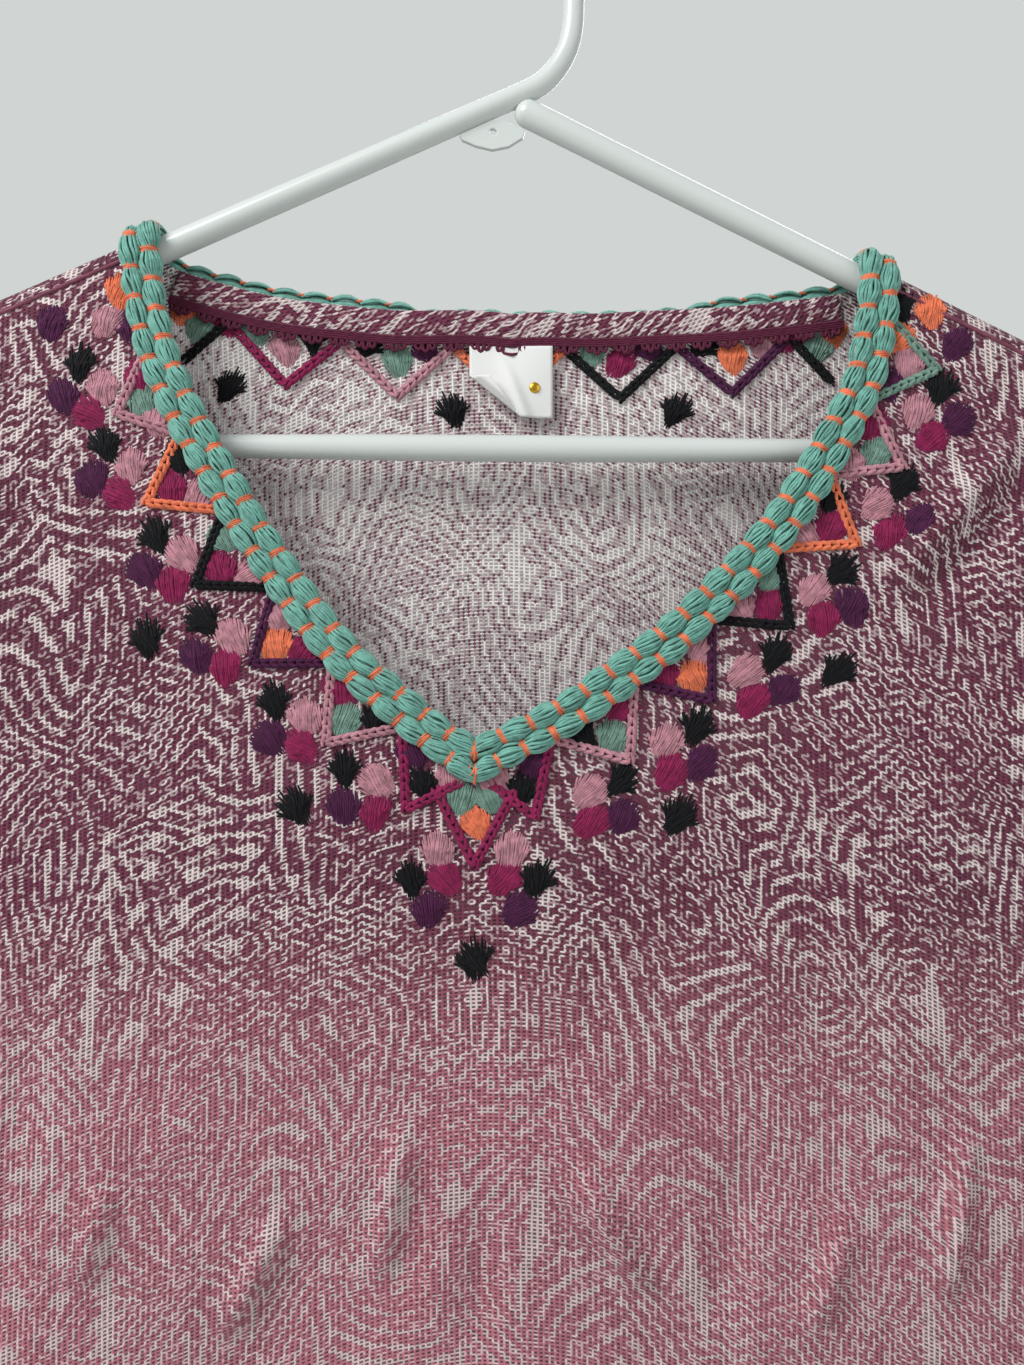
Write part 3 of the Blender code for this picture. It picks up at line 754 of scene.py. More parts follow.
class Finish:
    """A material built with short calls that add and join shader nodes."""

    def __init__(self, name, roughness, **sockets):
        self.material = bpy.data.materials.new(name)
        self.material.use_nodes = True
        self.tree = self.material.node_tree
        self.shader = self.tree.nodes["Principled BSDF"]
        self.shader.inputs["Roughness"].default_value = roughness
        for socket, value in sockets.items():
            self.shader.inputs[socket.replace("_", " ")].default_value = value

    def add(self, kind, **settings):
        node = self.tree.nodes.new(kind)
        for key, value in settings.items():
            setattr(node, key, value)
        return node

    def join(self, value, socket):
        if isinstance(value, bpy.types.NodeSocket):
            self.tree.links.new(value, socket)
        elif isinstance(value, (tuple, list)) and len(value) == 3 and len(socket.default_value) == 4:
            socket.default_value = (*value, 1.0)
        else:
            socket.default_value = value

    def math(self, operation, *values, clamp=False):
        node = self.add("ShaderNodeMath", operation=operation, use_clamp=clamp)
        for socket, value in zip(node.inputs, values):
            self.join(value, socket)
        return node.outputs[0]

    def object_place(self):
        return self.add("ShaderNodeTexCoord").outputs["Object"]

    def noise(self, vector, scale, detail=2.0):
        node = self.add("ShaderNodeTexNoise")
        self.join(vector, node.inputs["Vector"])
        node.inputs["Scale"].default_value = scale
        node.inputs["Detail"].default_value = detail
        return node

    def split(self, vector):
        node = self.add("ShaderNodeSeparateXYZ")
        self.join(vector, node.inputs[0])
        return node.outputs

    def pair(self, x, y, z=0.0):
        node = self.add("ShaderNodeCombineXYZ")
        for socket, value in zip(node.inputs, (x, y, z)):
            self.join(value, socket)
        return node.outputs[0]

    def pick(self, share, first, second):
        """The first value, or the second where the share is 1."""
        node = self.add("ShaderNodeMix", data_type="FLOAT")
        for socket, value in zip((node.inputs[0], node.inputs[2], node.inputs[3]), (share, first, second)):
            self.join(value, socket)
        return node.outputs[0]

    def saw(self, value, width):
        """0 at the middle of each width, rising to 1 at its ends."""
        part = self.math("FRACT", self.math("DIVIDE", value, width))
        return self.math("ABSOLUTE", self.math("MULTIPLY_ADD", part, 2.0, -1.0))

    def chance(self, vector):
        node = self.add("ShaderNodeTexWhiteNoise", noise_dimensions="3D")
        self.join(vector, node.inputs["Vector"])
        return node.outputs["Value"]

    def ramp(self, value, low, high, to_low=0.0, to_high=1.0):
        node = self.add("ShaderNodeMapRange", interpolation_type="SMOOTHSTEP")
        for socket, given in zip(node.inputs, (value, low, high, to_low, to_high)):
            self.join(given, socket)
        return node.outputs[0]

    def mix(self, share, first, second, blend="MIX"):
        node = self.add("ShaderNodeMix", data_type="RGBA", blend_type=blend)
        self.join(share, node.inputs["Factor"])
        self.join(first, node.inputs[6])
        self.join(second, node.inputs[7])
        return node.outputs[2]

    def grey(self, value):
        node = self.add("ShaderNodeCombineColor")
        for socket in node.inputs:
            self.join(value, socket)
        return node.outputs[0]

    def shade(self, colour, factor):
        """The colour times a grey factor."""
        return self.mix(1.0, colour, self.grey(factor), "MULTIPLY")

    def bump(self, height, distance, strength=1.0):
        node = self.add("ShaderNodeBump")
        self.join(height, node.inputs["Height"])
        node.inputs["Distance"].default_value = distance
        node.inputs["Strength"].default_value = strength
        self.join(node.outputs[0], self.shader.inputs["Normal"])

    def colour(self, value):
        self.join(value, self.shader.inputs["Base Color"])

    def roughness(self, value):
        self.join(value, self.shader.inputs["Roughness"])


def gauze_finish(name, reverse=False, hole_shade=0.0):
    """Open gauze with a fading print of nested leaves, stepped along its threads.

    hole_shade is how much of a hole is filled by the shadow of its threads; 1 leaves it closed.
    """
    cloth = settings().cloth
    f = Finish(name, 0.9, Sheen_Weight=0.1, Sheen_Roughness=0.6, Specular_IOR_Level=0.2)
    place = f.object_place()
    u, v, _ = f.split(f.add("ShaderNodeUVMap", uv_map="weave").outputs[0])
    drift_x, drift_y, _ = f.split(f.noise(place, 26.0, 2.0).outputs["Color"])
    across = f.math("MULTIPLY_ADD", drift_x, 1.3, f.math("DIVIDE", u, cloth.thread_across))
    down = f.math("MULTIPLY_ADD", drift_y, 1.6, f.math("DIVIDE", v, cloth.thread_down))
    column = f.math("ADD", f.math("FLOOR", across), 0.5)
    row = f.math("ADD", f.math("FLOOR", down), 0.5)
    from_column = f.saw(across, 1.0)
    from_row = f.saw(down, 1.0)
    chance = f.chance(f.pair(column, row))
    other = f.chance(f.pair(column, row, 7.0))

    # Threads that run down and threads that run across take the print each at its own place
    downward = f.math("GREATER_THAN", from_column, from_row)
    thread_u = f.pick(downward, column, f.math("ROUND", across))
    thread_v = f.pick(downward, f.math("ROUND", down), row)
    step_u = f.math("MULTIPLY", thread_u, cloth.thread_across)
    step_v = f.math("MULTIPLY", thread_v, cloth.thread_down)
    stepped = f.pair(step_u, step_v)
    luck = f.chance(f.pair(thread_u, thread_v, 3.0))

    # The places are pulled about so that no leaf is like the next
    pull_x, pull_y, _ = f.split(f.noise(stepped, 11.0, 1.5).outputs["Color"])
    pu = f.math("MULTIPLY_ADD", pull_x, 0.055, step_u)
    pv = f.math("MULTIPLY_ADD", pull_y, 0.080, step_v)
    p = f.saw(pu, cloth.leaf_width)
    q = f.saw(pv, cloth.leaf_length)
    leaf = f.math("MULTIPLY", f.math("MULTIPLY_ADD", q, q, p), cloth.leaf_width / 2)

    # Rings round the tips, and rows of small waves, each in its own areas
    beside, beyond = f.math("SUBTRACT", 1.0, p), f.math("SUBTRACT", 1.0, q)
    stretched = f.math("MULTIPLY", beyond, f.math("MULTIPLY", beyond, 3.6))
    ring = f.math("SQRT", f.math("MULTIPLY_ADD", beside, beside, stretched))
    ring = f.math("MULTIPLY", ring, cloth.leaf_width / 2)
    wave = f.math("MULTIPLY_ADD", f.saw(pu, 0.0092), 0.0036, pv)
    area = f.noise(stepped, 19.0, 1.0).outputs["Fac"]
    in_rings = f.math("GREATER_THAN", area, 0.57)
    in_waves = f.math("LESS_THAN", area, 0.40)
    thin, broad = (0.26, 0.66) if reverse else (0.16, 0.38)
    width = f.ramp(f.noise(stepped, 34.0, 1.0).outputs["Fac"], 0.35, 0.65, thin, broad)

    def stripes(field, pitch):
        return f.math("LESS_THAN", f.math("FRACT", f.math("DIVIDE", field, pitch)), width)

    lines = f.pick(in_rings, stripes(leaf, cloth.line_pitch), stripes(ring, cloth.line_pitch * 0.9))
    lines = f.pick(in_waves, lines, stripes(wave, cloth.line_pitch * 0.95))
    unbroken = f.math("GREATER_THAN", f.noise(stepped, 170.0, 1.0).outputs["Fac"], 0.38)
    lines = f.math("MULTIPLY", lines, unbroken)

    # White lenses in the leaves, long white spindles between them, and patches of small dots
    def blob(one, other, half_one, half_other, rarity, scale):
        shape = f.math("ADD", f.math("DIVIDE", one, half_one), f.math("DIVIDE", other, half_other))
        present = f.math("GREATER_THAN", f.noise(stepped, scale, 0.0).outputs["Fac"], rarity)
        return f.math("MULTIPLY", f.math("LESS_THAN", shape, 1.0), present)

    lens = blob(p, q, 0.17, 0.17, 0.44, 8.0)
    spindle = blob(beside, beyond, 0.13, 0.42, 0.46, 9.0)
    dots = blob(f.saw(pu, 0.0125), f.saw(pv, 0.0110), 0.52, 0.52, 0.60, 12.0)
    bare = f.math("MAXIMUM", f.math("MAXIMUM", lines, dots), f.math("MAXIMUM", lens, spindle))

    _, _, height = f.split(place)
    faded = f.ramp(height, cloth.fade_end, cloth.fade_top, 1.0, 0.0)
    ground = f.mix(faded, tuple(cloth.plum), tuple(cloth.rose))
    ground = f.shade(ground, f.ramp(f.noise(place, 9.0, 3.0).outputs["Fac"], 0.3, 0.7, 0.88, 1.12))
    heather = f.math("MULTIPLY", f.math("GREATER_THAN", luck, 0.74), 0.40)
    ground = f.mix(heather, ground, tuple(cloth.bare))
    white = f.mix(f.math("MULTIPLY", faded, 0.24), tuple(cloth.bare), tuple(cloth.rose))
    if reverse:
        white = tuple(cloth.unprinted)
    colour = f.mix(bare, ground, white)
    if reverse:
        # The threads that run down let most of the print through, the others less
        through = f.math("MULTIPLY", downward, f.math("GREATER_THAN", luck, 0.15))
        through = f.math("MULTIPLY_ADD", through, 0.62, 0.34)
        colour = f.mix(f.math("SUBTRACT", 1.0, through), colour, white)
    # Painted shade on the threads: darker towards the middle of each cell where the hole is, lighter where threads
    # cross; each thread's tone also varies at random
    painted_thread_shade = f.math("MULTIPLY_ADD", f.math("MAXIMUM", from_column, from_row), 0.36, 0.68)
    colour = f.shade(colour, f.math("MULTIPLY", painted_thread_shade, f.math("MULTIPLY_ADD", luck, 0.30, 0.84)))
    wide = f.math("MULTIPLY_ADD", bare, 0.10, f.math("MULTIPLY_ADD", chance, 0.22, 0.42))
    tall = f.math("MULTIPLY_ADD", bare, 0.12, f.math("MULTIPLY_ADD", other, 0.24, 0.32))
    inside = f.math("MAXIMUM", f.math("DIVIDE", from_column, wide), f.math("DIVIDE", from_row, tall))
    solid = f.ramp(inside, 0.8, 1.12)
    # Painted shade in the holes: their colour falls to 0.38 of the thread's, and hole_shade below makes that dark
    # colour partly opaque, standing in for the shadow seen through them
    f.colour(f.shade(colour, f.math("MULTIPLY_ADD", solid, 0.62, 0.38)))
    f.bump(f.math("MAXIMUM", from_column, f.math("MULTIPLY", from_row, 0.9)), 0.0004, 0.8)
    if hole_shade < 1:
        f.join(f.math("MULTIPLY_ADD", solid, 1 - hole_shade, hole_shade), f.shader.inputs["Alpha"])
    return f.material


def thread_finish(name, colour, sheen=0.06, variation=0.22):
    """Cotton thread, with uneven dye and fine fibres."""
    f = Finish(name, 0.72, Sheen_Weight=sheen, Sheen_Roughness=0.5, Specular_IOR_Level=0.18)
    place = f.object_place()
    uneven = f.ramp(f.noise(place, 420.0, 3.0).outputs["Fac"], 0.3, 0.7, 1 - variation, 1 + variation)
    f.colour(f.shade(tuple(colour), uneven))
    fibres = f.noise(place, 3200.0, 2.0).outputs["Fac"]
    f.bump(fibres, 0.0002, 0.5)
    f.roughness(f.math("MULTIPLY_ADD", fibres, 0.3, 0.58))
    return f.material


def slot_finish(slot):
    """The plain finish that the frame gives a slot, as the hanger and its label wear it."""
    return bpy.data.materials[slot]


def gold_finish():
    """Polished brass foil with faint scratches."""
    f = Finish("gold_dome", 0.25, Metallic=1.0)
    place = f.object_place()
    worn = f.noise(place, 1500.0, 2.0).outputs["Fac"]
    f.colour(f.shade(tuple(settings().hanger.gold), f.math("MULTIPLY_ADD", worn, 0.2, 0.88)))
    f.roughness(f.math("MULTIPLY_ADD", worn, 0.25, 0.15))
    f.bump(worn, 0.00003, 0.4)
    return f.material


def floor_finish():
    """Pale matt floor."""
    f = Finish("pale_floor", 0.85)
    grain = f.noise(f.object_place(), 60.0, 4.0).outputs["Fac"]
    f.colour(f.shade(tuple(settings().stage.floor), f.ramp(grain, 0.3, 0.7, 0.97, 1.02)))
    f.roughness(f.math("MULTIPLY_ADD", grain, 0.1, 0.8))
    return f.material


def finish(name, make, *values, **named):
    """The material of this name, made once."""
    found = bpy.data.materials.get(name)
    return found if found else make(*values, **named)


def printed_side(hole_shade=0.5):
    name = f"gauze_printed_{round(100 * hole_shade)}"
    return finish(name, gauze_finish, name, hole_shade=hole_shade)


def wrong_side():
    return finish("gauze_wrong_side", gauze_finish, "gauze_wrong_side", reverse=True, hole_shade=0.6)


def thread(colour):
    values = settings().stitch
    shades = {name: getattr(values, name) for name in THREADS if name != "orange"}
    shades["orange"] = settings().trim.orange
    return finish(f"thread_{colour}", thread_finish, f"thread_{colour}", shades[colour])


def teal_thread():
    return finish("thread_teal", thread_finish, "thread_teal", settings().trim.teal, sheen=0.2, variation=0.20)


# Pieces


def panel_mesh(facing):
    """A panel's middle surface. The back also rolls over the hanger's arms to the seam at the front."""
    cloth = settings().cloth
    half, rows = cloth.columns, cloth.rows
    shares = np.linspace(0, 1, half + 1)
    shares[round(half * NECK_SHARE)] = NECK_SHARE

    def place(column, row):
        side = -1 if column < half else 1
        return PATCHES[facing, side].place(shares[abs(column - half)], row / rows)

    bm = bmesh.new()
    weave_grid(bm, 2 * half, rows, place)
    if facing == BACK:
        roll_rows = 14
        first = round(half * NECK_SHARE)
        last_run = QUARTER_WRAP - SEAM_GAP / 2
        for side in (-1, 1):

            def roll(column, row, side=side):
                x = PATCHES[BACK, side].flat(shares[first + column], 0)[0]
                run = QUARTER_WRAP - (QUARTER_WRAP + last_run) * row / roll_rows
                return wrap_point(x, run), (x, run)

            weave_grid(bm, half - first, roll_rows, roll)
        bmesh.ops.remove_doubles(bm, verts=bm.verts, dist=1e-6)
    face_outward(bm)
    return bm


def lay_sheet(name, bm, sides, slot, flat, nodes=(), thickness=None):
    """A thin shell from a sheet, settled on the body. The flat size it was cut to gives an area that is not used."""
    area = min(sum(face.calc_area() for face in bm.faces), flat[0] * flat[1])
    piece = add_sheet(name, bm, *sides, thickness or settings().cloth.thickness)
    settle(piece, slot, *nodes)


class GAUZETOP_OT_panels(bpy.types.Operator):
    """Front and back of printed gauze, with their folds and creases"""

    bl_idname = "gauze_top.panels"
    bl_label = "Front and Back"

    def execute(self, context):
        for facing, name, hole_shade in ((FRONT, "front", 0.5), (BACK, "back", 0.25)):
            bm = panel_mesh(facing)
            sides = (printed_side(hole_shade), wrong_side())
            nodes = [f"{name}_panel"]
            lay_sheet(f"{name}_cloth", bm, sides, "gauze_cloth", PANEL_FLAT, nodes)
        return {"FINISHED"}


def armhole_ring(side):
    """Angle and point round the armhole, from the crest down the front and up the back."""
    end_run = PATCHES[FRONT, side].underarm_run
    tip = side * (SHOULDER_TIP_X + 0.0003)
    shares = np.linspace(0, ARMHOLE_SHARE, 18)
    halves = {}
    for facing in (FRONT, BACK):
        patch = PATCHES[facing, side]
        half = [(angle * WRAP_RADIUS, wrap_point(tip, facing * angle * WRAP_RADIUS)) for angle in (0.5, 1.0)]
        for share in shares:
            low, high = max(share - 0.01, 0.0), min(share + 0.01, ARMHOLE_SHARE)
            fall = patch.place(1, high)[0] - patch.place(1, low)[0]
            away = Vector((-fall.z, 0, fall.x)).normalized() * side
            run = patch.flat(1, share)[1]
            clear = 0.0003 + 0.0008 * (run / end_run) ** 4
            half.append((run, patch.place(1, share)[0] + away * clear))
        halves[facing] = half
    _, under = halves[FRONT].pop()
    halves[BACK].pop()
    under.y = 0.0

    def around(run):
        return math.acos(1 - 2 * min(run / end_run, 1.0))

    ring = [(0.0, wrap_point(tip, 0.0))]
    ring += [(around(run), point) for run, point in halves[FRONT]]
    ring += [(math.pi, under)]
    ring += [(2 * math.pi - around(run), point) for run, point in reversed(halves[BACK])]
    return ring


def sleeve_point(position, angle, side):
    """The sleeve's middle surface at a position between its sections and an angle round it."""
    index = min(int(position), len(SLEEVE_SECTIONS) - 2)
    part = position - index
    rows = np.array(SLEEVE_SECTIONS[max(index - 1, 0) : index + 3])
    if index == 0:
        rows = np.vstack([2 * rows[0] - rows[1], rows])
    if len(rows) < 4:
        rows = np.vstack([rows, 2 * rows[-1] - rows[-2]])
    top_x, top_z, under_x, under_z, half_depth = curve_point(*rows, part)
    middle = Vector((side * (top_x + under_x) / 2, 0, (top_z + under_z) / 2))
    reach = Vector((side * (top_x - under_x) / 2, 0, (top_z - under_z) / 2))
    grown = smooth_step(position / 5)
    wave = math.sin(SLEEVE_FOLD_COUNT * angle + SLEEVE_FOLD_TURN * position + side)
    elbow = math.exp(-(((position - 5.6) / 1.7) ** 2))
    pinch = 0.06 * elbow * math.sin(3.4 * position + 1.2 * math.cos(angle))
    round_it = (2.2 * math.cos(angle), 2.2 * math.sin(angle), position * 0.9 + side)
    rough = 0.05 * noise.noise(Vector(round_it))
    swell = 1 + grown * (SLEEVE_FOLD * wave + pinch + rough)
    across = Vector((0, -half_depth * math.sin(angle) * swell, 0))
    return middle + reach * math.cos(angle) + across


class GAUZETOP_OT_sleeves(bpy.types.Operator):
    """Two long set-in sleeves of the same gauze"""

    bl_idname = "gauze_top.sleeves"
    bl_label = "Sleeves"

    def execute(self, context):
        rows, head = 140, 8
        last = len(SLEEVE_SECTIONS) - 1
        for side, name in ((-1, "left"), (1, "right")):
            ring = armhole_ring(side)
            table = [[point for _, point in ring] + [ring[0][1]]]
            for row in range(1, rows + 1):
                position = max((row - head) / (rows - head), 0.0) * last
                line = [sleeve_point(position, angle, side) for angle, _ in ring]
                line.append(sleeve_point(position, 0.0, side))
                if row < head:
                    share = row / head
                    line = [a.lerp(b, share) for a, b in zip(table[0], line)]
                table.append(line)
            girth = [0.0]
            for first, second in zip(table[rows // 4], table[rows // 4][1:]):
                girth.append(girth[-1] + (second - first).length)
            lengths = [0.0]
            for first, second in zip(table, table[1:]):
                step = sum((b - a).length for a, b in zip(first, second)) / len(first)
                lengths.append(lengths[-1] + step)

            def place(column, row, table=table, girth=girth, lengths=lengths):
                return table[row][column], (girth[column], lengths[row])

            bm = bmesh.new()
            weave_grid(bm, len(ring), rows, place)
            bmesh.ops.remove_doubles(bm, verts=bm.verts, dist=1e-6)
            face_outward(bm)
            piece, sides = f"sleeve_{name}", (printed_side(), wrong_side())
            lay_sheet(f"{piece}_cloth", bm, sides, "gauze_cloth", SLEEVE_FLAT, [piece])
        return {"FINISHED"}


def seat(surface, x, z):
    """Where the cloth lies at x and z: point and the normal that faces the viewer of that surface."""
    tree, start, direction = surface
    hit, normal, _, _ = tree.ray_cast(Vector((x, start, z)), Vector((0, direction, 0)))
    if hit is None:
        raise RuntimeError(f"no cloth under x {x:.4f}, z {z:.4f}")
    if normal.y * direction > 0:
        normal = -normal
    return hit, normal


def surfaces():
    """The faces that carry stitches: the front's outside, the back's inside and the back's outside."""
    trees = {}
    for facing in (FRONT, BACK):
        bm = panel_mesh(facing)
        trees[facing] = BVHTree.FromBMesh(bm)
        bm.free()
    return {
        "front": (trees[FRONT], -0.3, 1),
        "inside": (trees[BACK], 0.0, 1),
        "back": (trees[BACK], 0.3, -1),
        "yoke": (trees[BACK], -0.3, 1),
    }


def seat_on(carriers, name, x, z):
    """Seats a stitch; at the shoulder the front's stitches lie on the back's rolled edge."""
    if name == "front" and z > crest(x) - WRAP_RADIUS - SEAM_GAP and abs(x) > 0.1:
        name = "yoke"
    return seat(carriers[name], x, z)


def chain_line(carriers, name, corners):
    """Chain stitches along straight legs in x, z: two plump strands to a link, closed to a V."""
    stitch = settings().stitch
    strokes = []
    half = stitch.line / 2
    for (x0, z0), (x1, z1) in zip(corners, corners[1:]):
        count = max(2, round(math.hypot(x1 - x0, z1 - z0) / stitch.link))
        for k in range(count):
            points = []
            for share in ((k - 0.40) / count, (k + 0.25) / count, (k + 1.0) / count):
                point, up = seat_on(carriers, name, x0 + (x1 - x0) * share, z0 + (z1 - z0) * share)
                points.append(point)
            start, middle, end = points
            aside = (end - start).cross(up).normalized() * half
            for hand in (-1, 1):
                strokes.append(
                    [
                        (start + aside * hand * 0.58 + up * 0.0004, half * 0.30),
                        (middle + aside * hand * 0.55 + up * 0.0009, half * 0.46),
                        (end + aside * hand * 0.12 + up * 0.0012, half * 0.36),
                    ]
                )
    return strokes


def satin_diamond(carriers, name, x, z, half_height, turn, ragged, rng):
    """A diamond of satin stitch: nearly parallel strands in two layers, more ragged for a leaf."""
    centre, up = seat_on(carriers, name, x, z)
    aside = Vector((1, 0, 0))
    aside = (aside - up * aside.dot(up)).normalized()
    down = up.cross(aside).normalized()
    if down.z > 0:
        down.negate()
    aside, down = (
        aside * math.cos(turn) + down * math.sin(turn),
        down * math.cos(turn) - aside * math.sin(turn),
    )
    half_width = half_height * rng.uniform(0.84, 0.98)
    bulge = 1.45 if ragged else rng.uniform(1.5, 2.1)
    tuft, phase = (0.30 if ragged else 0.07), rng.uniform(0, 6)
    pinch, fan = (0.62, 1.20) if ragged else (0.86, 1.08)
    layers = (
        (17, 1.0, 0.0003, rng.uniform(-0.2, 0.2)),
        (11, 0.66, 0.0008, rng.uniform(-0.4, 0.4)),
    )
    strokes = []
    for count, spread, lift, skew in layers:
        for k in range(count):
            across = (2 * k / (count - 1) - 1) * 0.97
            edge = (1 - abs(across) ** bulge) ** (1 / bulge) * half_height * math.sqrt(spread)
            top = edge * (1 + tuft * math.sin(1.7 * k + phase) + rng.uniform(-0.09, 0.09)) + 0.0003
            bottom = edge * (1 + 0.5 * tuft * math.sin(2.9 * k + phase) + rng.uniform(-0.09, 0.09)) + 0.0003
            offset = across * half_width * spread + rng.uniform(-0.0002, 0.0002)
            start = centre + aside * (offset * pinch - skew * bottom) + down * bottom
            end = centre + aside * (offset * fan + skew * top) - down * top
            middle = start.lerp(end, 0.5) + up * (lift + rng.uniform(0.0003, 0.0006))
            strokes.append([(start + up * 0.0002, 0.00028), (middle, 0.00048), (end + up * 0.0002, 0.00028)])
    return strokes


class NeckLayout:
    """Places by length from the V up one side of the front, and by reach out from the neckline."""

    def __init__(self, side):
        patch = PATCHES[FRONT, side]
        frames = [patch.neck_frame(s) for s in np.linspace(0, NECK_SHARE, 120)]
        here, _, into = frames[1]
        self.rows = np.array([[p.x, p.z, i.x, i.z] for p, _, i in frames])
        self.rows[0, 2:] = (into.x, into.z)
        steps = np.linalg.norm(np.diff(self.rows[:, :2], axis=0), axis=1)
        self.lengths = np.concatenate([[0.0], np.cumsum(steps)])

    def at(self, length, reach):
        x, z, out_x, out_z = (np.interp(length, self.lengths, column) for column in self.rows.T)
        if length < 0:
            x += (self.rows[0, 0] - self.rows[1, 0]) * -length / self.lengths[1]
            z += (self.rows[0, 1] - self.rows[1, 1]) * -length / self.lengths[1]
        size = math.hypot(out_x, out_z)
        return x + out_x / size * reach, z + out_z / size * reach


def front_embroidery(carriers, chains, diamonds):
    """Zigzag teeth up both sides of the V, with diamonds inside and clusters between them."""
    half = settings().stitch.diamond
    bottom_x, bottom_z = NECKLINE[FRONT, -1][-1]
    for side in (-1, 1):
        layout = NeckLayout(side)
        corners = TOOTH_CORNERS[side]
        ends = [(low[0] + high[0]) / 2 for low, high in zip(corners, corners[1:])]
        ends.append(2 * corners[-1][0] - ends[-1])
        for k, (middle, reach) in enumerate(corners):
            line, corner_colour, upper, lower = FRONT_TEETH[k]
            corner, high = layout.at(middle, reach), ends[k]
            if k:
                foot = layout.at(ends[k - 1], TOOTH_FOOT)
            else:
                foot = (bottom_x + side * FIRST_FOOT[0], bottom_z + FIRST_FOOT[1])
            chains[line] += chain_line(carriers, "front", [foot, corner, layout.at(high, TOOTH_FOOT)])
            inside_corner = layout.at(middle, reach - CORNER_IN)
            above = layout.at(middle + UPPER_ALONG, PAIR_REACH)
            below = layout.at(middle - LOWER_ALONG, PAIR_REACH)
            diamonds.append((corner_colour, "front", *inside_corner, half * 0.96, 0.0))
            diamonds.append((upper, "front", *above, half * 0.92, 0.4 * side))
            diamonds.append((lower, "front", *below, half * 0.92, -0.4 * side))
        for k, place in enumerate(CLUSTERS[side]):
            x, z = layout.at(*place)
            turn = CLUSTER_TURN * (k + 0.6)
            for across, rise, colour in CLUSTER:
                over = (across * math.cos(turn) - rise * math.sin(turn)) * side * CLUSTER_HALF
                up = (across * math.sin(turn) + rise * math.cos(turn)) * CLUSTER_HALF
                diamonds.append((colour, "front", x + over, z + up, half * 0.98, 0.5 * side))
        for place in LONE_DIAMONDS[side]:
            diamonds.append(("black", "front", *layout.at(*place), half * 1.05, 0.5 * side))
    middle_tooth = [(bottom_x + x, bottom_z + z) for x, z in MIDDLE_TOOTH]
    chains["magenta"] += chain_line(carriers, "front", middle_tooth)
    for colour, x, z, size in MIDDLE_DIAMONDS:
        diamonds.append((colour, "front", bottom_x + x, bottom_z + z, half * size, 0.0))
    for side in (-1, 1):
        for colour, x, z in MIDDLE_CLUSTER:
            diamonds.append((colour, "front", bottom_x + side * x, bottom_z + z, half * 0.98, 0.3 * side))
        x = NECK_CREST_X[side] + side * SHOULDER_PLACE[0]
        z = crest(NECK_CREST_X[side]) + SHOULDER_PLACE[1]
        for colour, over, up in SHOULDER_DIAMONDS[side]:
            diamonds.append((colour, "front", x + over, z + up, half * 0.95, 0.0))


def back_embroidery(carriers, chains, diamonds):
    """The same teeth hang behind the neck, stitched through, so that they show on both faces."""
    half = settings().stitch.diamond
    count = len(BACK_TEETH)
    middle_x = NECKLINE[BACK, -1][-1][0]

    def place(x, below):
        x = min(max(x, BACK_ENDS[0]), BACK_ENDS[1])
        side = -1 if x < middle_x else 1
        neck = PATCHES[BACK, side].neck.points
        order = np.argsort(neck[:, 0])
        run = np.interp(x, neck[order, 0], neck[order, 1])
        return x, crest(x) - (run - QUARTER_WRAP + WRAP_RADIUS) - below

    for name in ("inside", "back"):
        foot = BACK_FOOT if name == "inside" else TOOTH_FOOT
        for k, (line, inner, before, after) in enumerate(BACK_TEETH):
            x = BACK_MIDDLE_X + BACK_PITCH * (k - (count - 1) / 2)
            low, high = x - BACK_PITCH / 2, x + BACK_PITCH / 2
            corners = [place(low, foot), place(x, BACK_CORNER), place(high, foot)]
            # The first and last teeth run under the trim, so only their inner legs are there
            corners = corners[1:] if k == 0 else corners[:2] if k == count - 1 else corners
            chains[line] += chain_line(carriers, name, corners)
            shift = 0.0085 if k == 0 else -0.0085 if k == count - 1 else 0.0
            diamonds.append((inner, name, *place(x + shift, foot + 0.0042), half * 0.92, 0.0))
            diamonds.append((before, name, *place(x + shift - 0.0086, foot), half * 0.88, 0.3))
            diamonds.append((after, name, *place(x + shift + 0.0086, foot), half * 0.88, -0.3))
            if k in (0, 2, 4):
                diamonds.append(("black", name, *place(high, BACK_CORNER + 0.0045), half * 0.95, 0.2))


class GAUZETOP_OT_embroidery(bpy.types.Operator):
    """Chain stitched zigzags and satin diamonds round the neck, front and back"""

    bl_idname = "gauze_top.embroidery"
    bl_label = "Embroidery"

    def execute(self, context):
        rng = random.Random(7)
        carriers = surfaces()
        chains = {colour: [] for colour in THREADS}
        diamonds = []
        front_embroidery(carriers, chains, diamonds)
        back_embroidery(carriers, chains, diamonds)
        satin = {colour: [] for colour in THREADS}
        for colour, name, x, z, size, turn in diamonds:
            turn += rng.uniform(-0.5, 0.5)
            satin[colour] += satin_diamond(carriers, name, x, z, size, turn, colour == "black", rng)
        for colour in THREADS:
            settle(add_strokes(f"chain_stitch_{colour}", chains[colour], thread(colour), 1), "trim_thread")
            settle(add_strokes(f"satin_stitch_{colour}", satin[colour], thread(colour)), "trim_thread")
        return {"FINISHED"}


